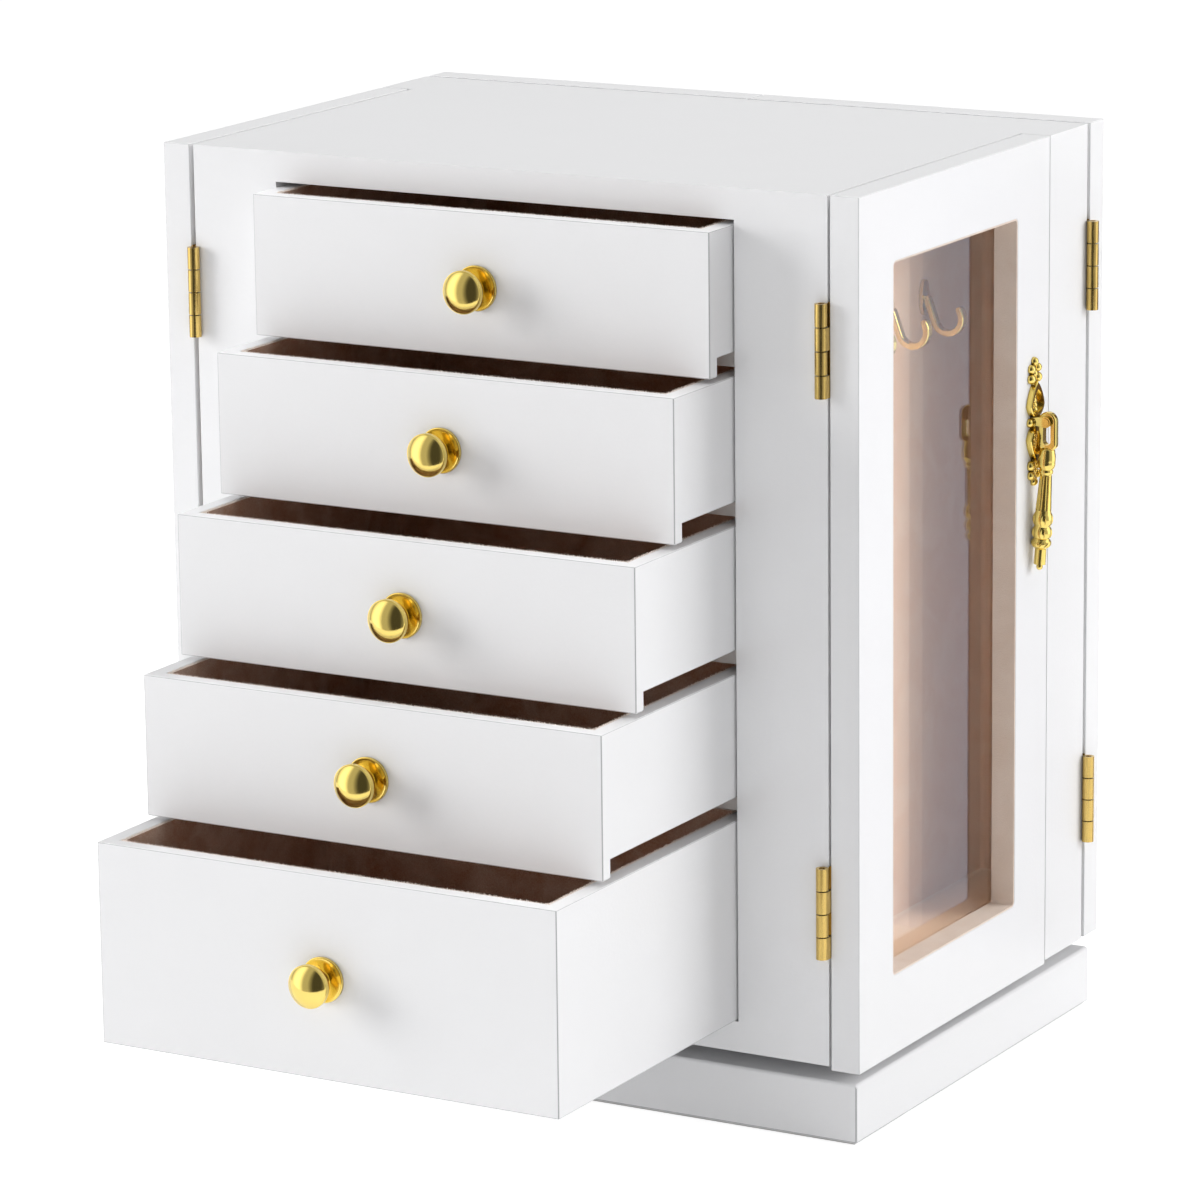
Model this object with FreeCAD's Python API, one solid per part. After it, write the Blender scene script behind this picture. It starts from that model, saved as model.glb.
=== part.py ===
import FreeCAD, Part
import math
import os

# Turntable jewellery cabinet with five drawers, two glazed side doors and two back doors.
# Millimetres, +Z up, front towards -Y. The origin is on the turntable's axis, at the underside of the felt.
# It is drawn as it stands in use: the drawers are pulled out step by step and every door is shut.

# Driving sizes of the drawers
drawer_front_width = 191.0
small_drawer_height = 52.9
deep_drawer_height = 75.6
small_drawer_count = 4
drawer_gap = 1.9
deep_drawer_floor_gap = 0.5
drawer_side_clearance = 0.8
drawer_length = 150.0
drawer_back_clearance = 1.8
drawer_pulled_out = [17.0, 43.6, 72.5, 97.3, 130.0]
drawer_front_thickness = 5.5
drawer_side_thickness = 6.0
drawer_bottom_thickness = 3.0
drawer_side_lift = 6.8
drawer_lining_thickness = 1.2
drawer_lining_drop = 0.4

# Driving sizes of the carcass
panel_thickness = 11.5
frame_thickness = 9.0
bay_wall_thickness = 9.0
bay_back_thickness = 5.0
side_bay_width = 38.2
back_compartment_depth = 32.2
rear_post_width = 23.5
shelf_thickness = 6.3
shelf_clearance = 0.3
shelf_setback = 1.0
compartment_floor_thickness = 12.7
lining_thickness = 1.0
lining_edge_clearance = 0.5

# Driving sizes of the doors
side_door_thickness = 11.5
right_door_gap = 0.9
left_door_gap = 1.9
side_door_end_gap = 0.5
side_door_drop = 1.5
back_door_thickness = 12.0
back_door_gap = 2.6
back_door_meeting_gap = 0.8
window_stile_width = 27.0
window_top_rail = 27.0
window_bottom_rail = 30.2
window_corner_radius = 2.0
glass_thickness = 1.6
glass_recess = 0.4
glass_margin = 4.0
glass_edge_clearance = 0.4
jamb_lining_thickness = 0.6
jamb_lining_setback = 0.2

# Driving sizes of the base and its ball-bearing turntable
base_height = 23.2
base_inset = 2.5
base_rail_thickness = 12.0
base_top_thickness = 9.0
base_bevel = 1.0
felt_thickness = 1.0
felt_inset = 1.5
turntable_gap = 6.6
turntable_plate_size = 150.0
turntable_plate_thickness = 1.2
turntable_plate_corner = 8.0
turntable_window_radius = 15.0
race_radius = 60.0
race_half_width = 6.0
race_floor = 0.1
running_clearance = 0.05
ball_count = 24
cage_thickness = 0.8
cage_half_width = 5.0
plate_screw_inset = 10.0
plate_screw_head_radius = 3.2
plate_screw_head_height = 1.5
plate_screw_radius = 1.6
plate_screw_length = 8.0

# Driving sizes of the hinges
hinge_height = 34.5
hinge_knuckle_count = 4
hinge_knuckle_radius = 2.3
hinge_knuckle_gap = 0.45
hinge_leaf_thickness = 0.4
hinge_leaf_reach = 10.0
hinge_leaf_clearance = 0.25
hinge_front_stand_off = 2.4
hinge_side_stand_off = 2.4
hinge_pin_radius = 1.1
hinge_pin_recess = 0.6
hinge_screw_spread = 20.0
hinge_screw_reach = 6.6
hinge_screw_head_radius = 1.45
hinge_screw_radius = 0.75
hinge_screw_length = 5.0
side_hinge_below_top = 55.4
side_hinge_above_bottom = 59.7
back_hinge_below_top = 54.0
back_hinge_above_bottom = 56.7

# Driving sizes of the magnetic catches
magnet_radius = 3.0
magnet_depth = 3.0
magnet_from_door_end = 13.8
back_magnet_offset = 12.0
strike_radius = 3.5
strike_thickness = 0.8

# Driving sizes of the knobs
small_drawer_knob_drop = 1.1
deep_drawer_knob_drop = 0.3
knob_flange_radius = 8.35
knob_flange_thickness = 1.5
knob_flange_rim = 0.55
knob_flange_dish = 0.9
knob_stem_radius = 2.6
knob_head_radius = 8.0
knob_dome_radius = 7.65
knob_dome_rise = 3.4
knob_head_back = 9.4
knob_band_width = 1.5
knob_screw_radius = 1.7
knob_screw_bite = 7.5
knob_screw_head_radius = 3.2
knob_screw_head_height = 1.6

# Driving sizes of the necklace hooks
hook_plate_width = 6.0
hook_plate_height = 13.6
hook_plate_thickness = 1.6
hook_strap_width = 3.6
hook_strap_thickness = 2.4
hook_strap_rounding = 0.6
hook_bend_radius = 5.8
hook_bend_out = 11.0
hook_bend_below_plate = 7.0
hook_arm_lean_degrees = 20.0
hook_arm_length = 9.1
hook_curl_degrees = 35.0
side_hook_count = 4
side_hook_pitch = 29.0
side_hook_from_door_end = 28.8
side_hook_below_top = 59.3
back_hook_count = 5
back_hook_pitch = 36.0
back_hook_below_top = 40.0

# Driving sizes of the drop pulls
pull_below_top = 106.0
pull_plate_base = 1.0
pull_plate_relief = 2.3
pull_boss_radius = 3.0
pull_leaf_start = 1.4
pull_leaf_tip = 15.6
pull_leaf_widest = 6.4
pull_leaf_half_width = 5.9
pull_leaf_rim = 1.4
pull_pivot_out = 6.5
pull_pivot_up = 0.6
pull_pin_radius = 1.5
pull_pin_projection = 0.3
pull_ear_gap = 0.15
pull_ear_thickness = 1.1
pull_ear_radius = 2.1
pull_link_thickness = 2.1
pull_link_width = 3.0
pull_link_fall = 11.0
pull_link_foot = 3.6
pull_link_rounding = 0.7
pull_link_foot_radius = 2.4
pull_drop_offset = 0.25
pull_drop_lean_degrees = 3.9
pull_flute_count = 8
pull_flute_radius = 0.75
pull_lobe_count = 6
pull_seam_radius = 1.3
pull_twist_count = 10
pull_stud_radius = 1.4
pull_stud_length = 6.0

# Places worked out from the driving sizes, across the width
bay_half = drawer_front_width / 2 + drawer_side_clearance
door_inner_x = bay_half + side_bay_width
door_outer_x = door_inner_x + side_door_thickness
side_gap = {1: right_door_gap, -1: left_door_gap}

# Places from front to back
carcass_depth = (drawer_length + drawer_back_clearance + bay_back_thickness
                 + back_compartment_depth)
overall_depth = carcass_depth + back_door_gap + back_door_thickness
front_y = -overall_depth / 2
carcass_back_y = front_y + carcass_depth
front_stile_back_y = front_y + frame_thickness
rear_stile_front_y = carcass_back_y - frame_thickness
post_front_y = rear_stile_front_y - rear_post_width
side_door_end_y = post_front_y - side_door_end_gap
bay_back_front_y = front_y + drawer_length + drawer_back_clearance
bay_back_rear_y = bay_back_front_y + bay_back_thickness
back_door_front_y = carcass_back_y + back_door_gap
back_door_rear_y = back_door_front_y + back_door_thickness

# Levels, from the felt up
carcass_bottom_z = base_height + turntable_gap
bay_bottom_z = carcass_bottom_z + panel_thickness
deep_drawer_bottom_z = bay_bottom_z + deep_drawer_floor_gap
bay_top_z = (deep_drawer_bottom_z + deep_drawer_height
             + small_drawer_count * (small_drawer_height + drawer_gap) + drawer_gap)
carcass_top_z = bay_top_z + panel_thickness
side_door_bottom_z = carcass_bottom_z - side_door_drop
compartment_floor_z = bay_bottom_z + compartment_floor_thickness

# The window of a side door, and the middle of its free stile
window_y = (front_y + window_stile_width, side_door_end_y - window_stile_width)
window_z = (side_door_bottom_z + window_bottom_rail, carcass_top_z - window_top_rail)
free_stile_y = side_door_end_y - window_stile_width / 2
pull_z = carcass_top_z - pull_below_top
back_pull_x = back_door_meeting_gap / 2 + window_stile_width / 2

# Hinge axes: a knuckle touches the plane of its door's inner face
side_hinge_x = door_inner_x - hinge_knuckle_radius
side_hinge_y = front_y - hinge_front_stand_off
back_hinge_x = door_outer_x + hinge_side_stand_off
back_hinge_y = back_door_front_y - hinge_knuckle_radius
side_hinge_z = (side_door_bottom_z + side_hinge_above_bottom, carcass_top_z - side_hinge_below_top)
back_hinge_z = (carcass_bottom_z + back_hinge_above_bottom, carcass_top_z - back_hinge_below_top)

X = FreeCAD.Vector(1, 0, 0)
Y = FreeCAD.Vector(0, 1, 0)
Z = FreeCAD.Vector(0, 0, 1)
ORIGIN = FreeCAD.Vector(0, 0, 0)


# Small helpers

def point(x, y, z):
    return FreeCAD.Vector(x, y, z)


def box(x_range, y_range, z_range):
    """A box between two values along each axis, given in either order."""
    low = [min(span) for span in (x_range, y_range, z_range)]
    high = [max(span) for span in (x_range, y_range, z_range)]
    sizes = [b - a for a, b in zip(low, high)]
    return Part.makeBox(sizes[0], sizes[1], sizes[2], point(low[0], low[1], low[2]))


def rod(radius, start, direction, length):
    return Part.makeCylinder(radius, length, start, direction)


def turned(shape, angle, axis=Z, centre=ORIGIN):
    """A copy of a shape, turned about an axis through a point."""
    copy = shape.copy()
    copy.rotate(centre, axis, angle)
    return copy


def moved(shape, x=0.0, y=0.0, z=0.0):
    copy = shape.copy()
    copy.translate(point(x, y, z))
    return copy


def mirrored(shape):
    """The left-hand twin of a right-hand piece."""
    return shape.mirror(ORIGIN, X)


def on_side(shape, side):
    return shape if side > 0 else mirrored(shape)


def fused(shapes):
    whole = shapes[0]
    if len(shapes) > 1:
        whole = whole.fuse(shapes[1:])
    return whole.removeSplitter()


def spun(outline_points, bulges):
    """A solid of revolution about Z, from (radius, height) points. A bulge is the middle point of an
    arc that replaces the straight edge which starts at that index."""
    corners = [point(radius, 0, height) for radius, height in outline_points]
    edges = []
    for index, start in enumerate(corners):
        end = corners[(index + 1) % len(corners)]
        if index in bulges:
            radius, height = bulges[index]
            edges.append(Part.Arc(start, point(radius, 0, height), end).toShape())
        else:
            edges.append(Part.makeLine(start, end))
    face = Part.Face(Part.Wire(edges))
    return Part.makeSolid(face.revolve(ORIGIN, Z, 360))


def cap_bulge(rim, pole):
    """The bulge that makes a part of a sphere between a rim and a pole, given as (radius, height)."""
    rise = pole[1] - rim[1]
    sphere = (rim[0] ** 2 + rise ** 2) / (2 * rise)
    centre = pole[1] - sphere
    angle = 0.5 * math.atan2(rim[0], (rim[1] - centre) * math.copysign(1, rise))
    return abs(sphere) * math.sin(angle), centre + sphere * math.cos(angle)


def rounded_opening(x_range, y_range, z_range, radius):
    """A prism along X with its four long edges rounded."""
    prism = box(x_range, y_range, z_range)
    along_x = [edge for edge in prism.Edges if abs(edge.tangentAt(edge.FirstParameter).x) > 0.99]
    return prism.makeFillet(radius, along_x)


def compound(shapes):
    return Part.makeCompound(shapes)


def carcass_edge(side):
    """The carcass's outer face, behind the side door of that side."""
    return side * (door_inner_x - side_gap[side])


# Base: four mitred rails round a top board, with a felt sheet glued under them

base_half_width = door_outer_x - base_inset
base_half_depth = overall_depth / 2 - base_inset


def base_rails():
    block = box((-base_half_width, base_half_width), (-base_half_depth, base_half_depth),
                (felt_thickness, base_height))
    top_edges = [edge for edge in block.Edges if edge.BoundBox.ZMin > base_height - 0.01]
    block = block.makeChamfer(base_bevel, top_edges)
    inner_x = base_half_width - base_rail_thickness
    inner_y = base_half_depth - base_rail_thickness
    ring = block.cut(box((-inner_x, inner_x), (-inner_y, inner_y), (0, base_height)))
    outer = [(-base_half_width, -base_half_depth), (base_half_width, -base_half_depth),
             (base_half_width, base_half_depth), (-base_half_width, base_half_depth)]
    inner = [(-inner_x, -inner_y), (inner_x, -inner_y), (inner_x, inner_y), (-inner_x, inner_y)]
    rails = []
    for index in range(4):
        following = (index + 1) % 4
        plan = [outer[index], outer[following], inner[following], inner[index], outer[index]]
        face = Part.Face(Part.makePolygon([point(x, y, 0) for x, y in plan]))
        rails.append(ring.common(face.extrude(point(0, 0, base_height))).Solids[0])
    return rails


def base_top_board():
    inner_x = base_half_width - base_rail_thickness
    inner_y = base_half_depth - base_rail_thickness
    board = box((-inner_x, inner_x), (-inner_y, inner_y), (base_height - base_top_thickness, base_height))
    holes = [plate_screw_hole(x, y, base_height, -1) for x, y in plate_screw_places()]
    return board.cut(holes)


def base_felt():
    half_x = base_half_width - felt_inset
    half_y = base_half_depth - felt_inset
    return box((-half_x, half_x), (-half_y, half_y), (0, felt_thickness))


# Turntable: two square plates with pressed races, and a caged ring of balls between them

turntable_mid_z = base_height + turntable_gap / 2
ball_radius = turntable_gap / 2 - turntable_plate_thickness - race_floor
race_height = 0.6 * ball_radius


def plate_screw_places():
    reach = turntable_plate_size / 2 - plate_screw_inset
    return [(x, y) for x in (-reach, reach) for y in (-reach, reach)]


def plate_screw(x, y, plate_z, way):
    """A pan-head screw whose head bears on the plate at plate_z and whose shank runs the given way."""
    head = rod(plate_screw_head_radius, point(x, y, plate_z), Z * -way, plate_screw_head_height)
    shank = rod(plate_screw_radius, point(x, y, plate_z), Z * way, plate_screw_length)
    return fused([head, shank])


def plate_screw_hole(x, y, board_z, way):
    start = point(x, y, board_z - way * turntable_plate_thickness)
    return rod(plate_screw_radius + running_clearance, start, Z * way,
               plate_screw_length + running_clearance)


def turntable_plate(way):
    """The plate that lies against the board on the given side (-1 the base, 1 the cabinet)."""
    board_z = turntable_mid_z + way * turntable_gap / 2
    face_z = board_z - way * turntable_plate_thickness
    half = turntable_plate_size / 2
    plate = box((-half, half), (-half, half), (board_z, face_z))
    upright = [edge for edge in plate.Edges if abs(edge.tangentAt(edge.FirstParameter).z) > 0.99]
    plate = plate.makeFillet(turntable_plate_corner, upright)
    race = rod(race_radius + race_half_width, point(0, 0, face_z), Z * -way, race_height)
    race = race.cut(rod(race_radius - race_half_width, point(0, 0, face_z), Z * -way, race_height))
    plate = fused([plate, race])
    groove = Part.makeTorus(race_radius, ball_radius + running_clearance, point(0, 0, turntable_mid_z))
    middle = rod(turntable_window_radius, point(0, 0, turntable_mid_z - turntable_gap), Z, 2 * turntable_gap)
    holes = [plate_screw_hole(x, y, board_z, way) for x, y in plate_screw_places()]
    return plate.cut([groove, middle] + holes)


def turntable_screws(way):
    face_z = turntable_mid_z + way * (turntable_gap / 2 - turntable_plate_thickness)
    return [plate_screw(x, y, face_z, way) for x, y in plate_screw_places()]


def turntable_ball_cage():
    low = turntable_mid_z - cage_thickness / 2
    cage = rod(race_radius + cage_half_width, point(0, 0, low), Z, cage_thickness)
    cage = cage.cut(rod(race_radius - cage_half_width, point(0, 0, low), Z, cage_thickness))
    balls = []
    pockets = []
    for index in range(ball_count):
        angle = 2 * math.pi * index / ball_count
        centre = point(race_radius * math.cos(angle), race_radius * math.sin(angle), turntable_mid_z)
        balls.append(Part.makeSphere(ball_radius, centre))
        pocket_start = centre - Z * cage_thickness
        pockets.append(rod(ball_radius + running_clearance, pocket_start, Z, 2 * cage_thickness))
    return [cage.cut(pockets)] + balls


# Hinges, drawn about an upright axis at the origin with the leaves running towards +Y.
# The door's face is the plane x = knuckle radius and the carcass's face lies one door gap inside it.

knuckle_pitch = hinge_height / hinge_knuckle_count
door_leaf_x = (hinge_knuckle_radius - hinge_leaf_thickness, hinge_knuckle_radius)


def carcass_leaf_x(gap):
    face = hinge_knuckle_radius - gap
    return (face, face + hinge_leaf_thickness)


def hinge_knuckles(is_door_half):
    """The bottom z of every second knuckle. The door's half has the second and fourth from the top."""
    first = 0 if is_door_half else 1
    return [-hinge_height / 2 + index * knuckle_pitch
            for index in range(first, hinge_knuckle_count, 2)]


def hinge_half(leaf_x, is_door_half):
    leaf_start = hinge_knuckle_radius + hinge_leaf_clearance
    pieces = [box(leaf_x, (leaf_start, hinge_leaf_reach), (-hinge_height / 2, hinge_height / 2))]
    bore = hinge_pin_radius + running_clearance
    tab_start = 0.0 if is_door_half else (bore + hinge_knuckle_radius) / 2
    for bottom in hinge_knuckles(is_door_half):
        low = bottom + hinge_knuckle_gap / 2
        high = bottom + knuckle_pitch - hinge_knuckle_gap / 2
        pieces.append(rod(hinge_knuckle_radius, point(0, 0, low), Z, high - low))
        pieces.append(box(leaf_x, (tab_start, leaf_start), (low, high)))
    half = fused(pieces)
    cuts = [rod(bore, point(0, 0, -hinge_height), Z, 2 * hinge_height)]
    cuts += [hinge_screw(leaf_x, z, is_door_half, running_clearance) for z in hinge_screw_heights()]
    return half.cut(cuts)


def hinge_screw_heights():
    return (-hinge_screw_spread / 2, hinge_screw_spread / 2)


def hinge_screw(leaf_x, z, is_door_half, extra=0.0):
    """A countersunk screw, its head flush in the leaf. With extra it is the hole for that screw."""
    way = 1 if is_door_half else -1
    outer_x = leaf_x[0] if is_door_half else leaf_x[1]
    start = point(outer_x, hinge_screw_reach, z)
    head = Part.makeCone(hinge_screw_head_radius + extra, hinge_screw_radius + extra,
                         hinge_leaf_thickness, start, X * way)
    shank = rod(hinge_screw_radius + extra, start, X * way, hinge_screw_length + extra)
    return fused([head, shank])


def hinge_pin():
    length = hinge_height - 2 * hinge_pin_recess
    return rod(hinge_pin_radius, point(0, 0, -length / 2), Z, length)


def placed_hinge_piece(piece, side, is_side_door, z):
    """Takes a piece from the hinge's own frame to a side door's or a back door's hinge."""
    if is_side_door:
        placed = moved(piece, side_hinge_x, side_hinge_y, z)
    else:
        placed = moved(turned(piece, 90), back_hinge_x, back_hinge_y, z)
    return on_side(placed, side)


def hinge_places():
    """Every hinge as (side, whether it is on a side door, height, gap between door and carcass)."""
    places = []
    for side in (1, -1):
        places += [(side, True, z, side_gap[side]) for z in side_hinge_z]
        places += [(side, False, z, back_door_gap) for z in back_hinge_z]
    return places


def carcass_hinge_halves():
    pieces = []
    for side, is_side_door, z, gap in hinge_places():
        leaf_x = carcass_leaf_x(gap)
        local = [hinge_half(leaf_x, False)]
        local += [hinge_screw(leaf_x, height, False) for height in hinge_screw_heights()]
        pieces += [placed_hinge_piece(piece, side, is_side_door, z) for piece in local]
    return pieces


def door_hinge_halves(side, is_side_door):
    pieces = []
    for z in (side_hinge_z if is_side_door else back_hinge_z):
        local = [hinge_half(door_leaf_x, True)]
        local += [hinge_screw(door_leaf_x, height, True) for height in hinge_screw_heights()]
        pieces += [placed_hinge_piece(piece, side, is_side_door, z) for piece in local]
    return pieces


def hinge_pins():
    return [placed_hinge_piece(hinge_pin(), side, is_side_door, z)
            for side, is_side_door, z, gap in hinge_places()]


def hinge_screw_holes(side, is_side_door, in_door):
    """The holes that one door, or the carcass behind it, needs for its hinge screws."""
    holes = []
    leaf_x = door_leaf_x if in_door else carcass_leaf_x(side_gap[side] if is_side_door else back_door_gap)
    for z in (side_hinge_z if is_side_door else back_hinge_z):
        for height in hinge_screw_heights():
            hole = hinge_screw(leaf_x, height, in_door, running_clearance)
            holes.append(placed_hinge_piece(hole, side, is_side_door, z))
    return holes


# Magnetic catches: a magnet in the top panel's edge, and a steel strike let into each door

magnet_z = carcass_top_z - panel_thickness / 2
side_magnet_y = side_door_end_y - magnet_from_door_end


def side_magnet(side, extra=0.0):
    start = point(carcass_edge(side), side_magnet_y, magnet_z)
    return rod(magnet_radius + extra, start, X * -side, magnet_depth + extra)


def back_magnet(side, extra=0.0):
    start = point(side * back_magnet_offset, carcass_back_y, magnet_z)
    return rod(magnet_radius + extra, start, Y * -1, magnet_depth + extra)


def side_strike(side, extra=0.0):
    start = point(side * door_inner_x, side_magnet_y, magnet_z)
    return rod(strike_radius + extra, start, X * side, strike_thickness + extra)


def back_strike(side, extra=0.0):
    start = point(side * back_magnet_offset, back_door_front_y, magnet_z)
    return rod(strike_radius + extra, start, Y, strike_thickness + extra)


def door_magnets():
    return [magnet(side) for side in (1, -1) for magnet in (side_magnet, back_magnet)]


# Carcass boards

def carcass_panel(bottom, top):
    """A top or bottom panel. Behind the side doors it widens to cover the rear posts."""
    front = box((carcass_edge(-1), carcass_edge(1)), (front_y, post_front_y), (bottom, top))
    rear = box((-door_outer_x, door_outer_x), (post_front_y, carcass_back_y), (bottom, top))
    return fused([front, rear])


def top_panel():
    panel = carcass_panel(bay_top_z, carcass_top_z)
    pockets = [magnet(side, running_clearance) for side in (1, -1)
               for magnet in (side_magnet, back_magnet)]
    return panel.cut(pockets)


def bottom_panel():
    holes = [plate_screw_hole(x, y, carcass_bottom_z, 1) for x, y in plate_screw_places()]
    return carcass_panel(carcass_bottom_z, bay_bottom_z).cut(holes)


def front_stile(side):
    stile = box((side * bay_half, carcass_edge(side)), (front_y, front_stile_back_y),
                (bay_bottom_z, bay_top_z))
    return stile.cut(hinge_screw_holes(side, True, False))


def rear_stile(side):
    stile = box((side * bay_half, side * door_outer_x), (rear_stile_front_y, carcass_back_y),
                (bay_bottom_z, bay_top_z))
    return stile.cut(hinge_screw_holes(side, False, False))


def rear_post(side):
    return box((carcass_edge(side), side * door_outer_x), (post_front_y, rear_stile_front_y),
               (bay_bottom_z, bay_top_z))


def bay_wall(side):
    return box((side * bay_half, side * (bay_half + bay_wall_thickness)),
               (front_stile_back_y, rear_stile_front_y), (bay_bottom_z, bay_top_z))


def bay_back():
    return box((-bay_half, bay_half), (bay_back_front_y, bay_back_rear_y), (bay_bottom_z, bay_top_z))


def drawer_span(index):
    """Bottom and top of a drawer's front, counted from the top drawer, which is 0."""
    top = bay_top_z - drawer_gap - index * (small_drawer_height + drawer_gap)
    height = small_drawer_height if index < small_drawer_count else deep_drawer_height
    return top - height, top


def drawer_shelf(index):
    """The board that the drawer's sides slide on, set back behind the drawer's front."""
    top = drawer_span(index)[0] + drawer_side_lift - shelf_clearance
    shelf_front_y = front_y + drawer_front_thickness + shelf_setback
    return box((-bay_half, bay_half), (shelf_front_y, bay_back_front_y), (top - shelf_thickness, top))


def compartment_floor(side):
    return box((side * (bay_half + bay_wall_thickness), carcass_edge(side)),
               (front_stile_back_y, rear_stile_front_y), (bay_bottom_z, compartment_floor_z))


def side_compartment_lining(side):
    """One folded sheet on the inner wall, both end walls and the floor of a side compartment."""
    inner_x = side * (bay_half + bay_wall_thickness)
    outer_x = carcass_edge(side) - side * lining_edge_clearance
    block = box((inner_x, outer_x), (front_stile_back_y, rear_stile_front_y),
                (compartment_floor_z, bay_top_z))
    space = box((inner_x + side * lining_thickness, outer_x + side),
                (front_stile_back_y + lining_thickness, rear_stile_front_y - lining_thickness),
                (compartment_floor_z + lining_thickness, bay_top_z + 1))
    return block.cut(space)


def back_compartment_lining():
    """One folded sheet on the back, both side walls and the floor of the back compartment."""
    end_y = carcass_back_y - lining_edge_clearance
    block = box((-bay_half, bay_half), (bay_back_rear_y, end_y), (bay_bottom_z, bay_top_z))
    inner_half = bay_half - lining_thickness
    space = box((-inner_half, inner_half), (bay_back_rear_y + lining_thickness, end_y + 1),
                (bay_bottom_z + lining_thickness, bay_top_z + 1))
    return block.cut(space)


# Necklace hooks, drawn on the plane x = 0 with the wire reaching towards +X

def strap_end(place):
    """The rounded end of the strap, across its width."""
    half = hook_strap_width / 2 - hook_strap_rounding
    return rod(hook_strap_thickness / 2, place - Y * half, Y, 2 * half)


def necklace_hook():
    """An oval plate with a flat strap that leaves it downwards, bends round and curls in at its tip."""
    ellipse = Part.Ellipse(ORIGIN, hook_plate_height / 2, hook_plate_width / 2)
    plate = Part.Face(Part.Wire(ellipse.toShape())).extrude(point(0, 0, hook_plate_thickness))
    plate = turned(plate, 90, Y)
    centre = point(hook_bend_out, 0, -hook_bend_below_plate)
    start = centre - X * hook_bend_radius
    half = hook_strap_thickness / 2
    arm = box((start.x - half, start.x + half), (-hook_strap_width / 2, hook_strap_width / 2),
              (start.z, start.z + hook_arm_length))
    upright = [edge for edge in arm.Edges if abs(edge.tangentAt(edge.FirstParameter).z) > 0.99]
    arm = arm.makeFillet(hook_strap_rounding, upright)
    section = [face for face in arm.Faces if face.BoundBox.ZMax < start.z + 0.01][0]
    sweep = 180 - hook_arm_lean_degrees + hook_curl_degrees
    bend = Part.makeSolid(section.revolve(centre, Y, -sweep))
    tip = turned(strap_end(start), -sweep, Y, centre)
    strap = [arm, bend, tip, strap_end(start + Z * hook_arm_length)]
    return fused([plate] + [turned(piece, -hook_arm_lean_degrees, Y, centre) for piece in strap])


def necklace_hooks():
    hook = necklace_hook()
    side_x = bay_half + bay_wall_thickness + lining_thickness
    hooks = []
    for side in (1, -1):
        for index in range(side_hook_count):
            y = side_door_end_y - side_hook_from_door_end - index * side_hook_pitch
            hooks.append(on_side(moved(hook, side_x, y, carcass_top_z - side_hook_below_top), side))
    back_hook = turned(hook, 90)
    for index in range(back_hook_count):
        x = (index - (back_hook_count - 1) / 2) * back_hook_pitch
        y = bay_back_rear_y + lining_thickness
        hooks.append(moved(back_hook, x, y, carcass_top_z - back_hook_below_top))
    return hooks


# Drawers, counted from the top

def drawer_face_y(index):
    return front_y - drawer_pulled_out[index]


def drawer_side_bottom(index):
    bottom = drawer_span(index)[0]
    return bottom + drawer_side_lift if index < small_drawer_count else bottom


def knob_place(index):
    bottom, top = drawer_span(index)
    drop = small_drawer_knob_drop if index < small_drawer_count else deep_drawer_knob_drop
    return point(0, drawer_face_y(index), (bottom + top) / 2 - drop)


def knob_screw(index, extra=0.0):
    """The screw that holds a knob, its head let into the back of the drawer's front. With extra it is
    the hole for that screw."""
    place = knob_place(index)
    inner = place + Y * drawer_front_thickness
    seat = inner - Y * (knob_screw_head_height + running_clearance)
    head = rod(knob_screw_head_radius + extra, seat, Y, knob_screw_head_height + extra)
    length = seat.y - place.y + knob_screw_bite
    shank = rod(knob_screw_radius + extra, seat, Y * -1, length + extra)
    return fused([head, shank])


def drawer_front(index):
    bottom, top = drawer_span(index)
    half = drawer_front_width / 2
    face_y = drawer_face_y(index)
    board = box((-half, half), (face_y, face_y + drawer_front_thickness), (bottom, top))
    return board.cut(knob_screw(index, running_clearance))


def drawer_box(index):
    """Two sides and a back, with the bottom board held between them."""
    top = drawer_span(index)[1]
    bottom = drawer_side_bottom(index)
    half = drawer_front_width / 2
    inner = half - drawer_side_thickness
    start = drawer_face_y(index) + drawer_front_thickness
    end = drawer_face_y(index) + drawer_length
    back_start = end - drawer_side_thickness
    sides = [box((side * inner, side * half), (start, end), (bottom, top)) for side in (1, -1)]
    back = box((-inner, inner), (back_start, end), (bottom, top))
    floor = box((-inner, inner), (start, back_start), (bottom, bottom + drawer_bottom_thickness))
    return sides + [back, floor]


def drawer_lining(index):
    """One folded tray of flock-covered card inside the drawer."""
    top = drawer_span(index)[1] - drawer_lining_drop
    floor = drawer_side_bottom(index) + drawer_bottom_thickness
    half = drawer_front_width / 2 - drawer_side_thickness
    start = drawer_face_y(index) + drawer_front_thickness
    end = drawer_face_y(index) + drawer_length - drawer_side_thickness
    tray = box((-half, half), (start, end), (floor, top))
    wall = drawer_lining_thickness
    space = box((wall - half, half - wall), (start + wall, end - wall), (floor + wall, top + 1))
    return tray.cut(space)


def knob_body():
    """A turned knob about Z: dished flange, waisted stem, and a domed head behind a narrow band."""
    band_start = knob_head_back
    band_end = knob_head_back + knob_band_width
    rim = knob_flange_radius
    outline = [
        (0, 0), (rim, 0), (rim, 0.6 * knob_flange_thickness),
        (rim - knob_flange_rim, knob_flange_thickness - 0.1),
        (knob_stem_radius + 0.9, knob_flange_dish), (knob_stem_radius, knob_flange_thickness),
        (knob_stem_radius, 0.45 * knob_head_back), (knob_head_radius - 0.4, band_start - 0.3),
        (knob_head_radius, band_start), (knob_head_radius, band_end),
        (knob_dome_radius, band_end + 0.2), (0, band_end + knob_dome_rise)]
    bulges = {
        2: (rim - 0.4 * knob_flange_rim, knob_flange_thickness),
        3: (0.5 * (rim + knob_stem_radius), knob_flange_dish),
        6: (0.55 * (knob_stem_radius + knob_head_radius), 0.62 * knob_head_back),
        10: cap_bulge(outline[10], outline[11])}
    return spun(outline, bulges)


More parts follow.
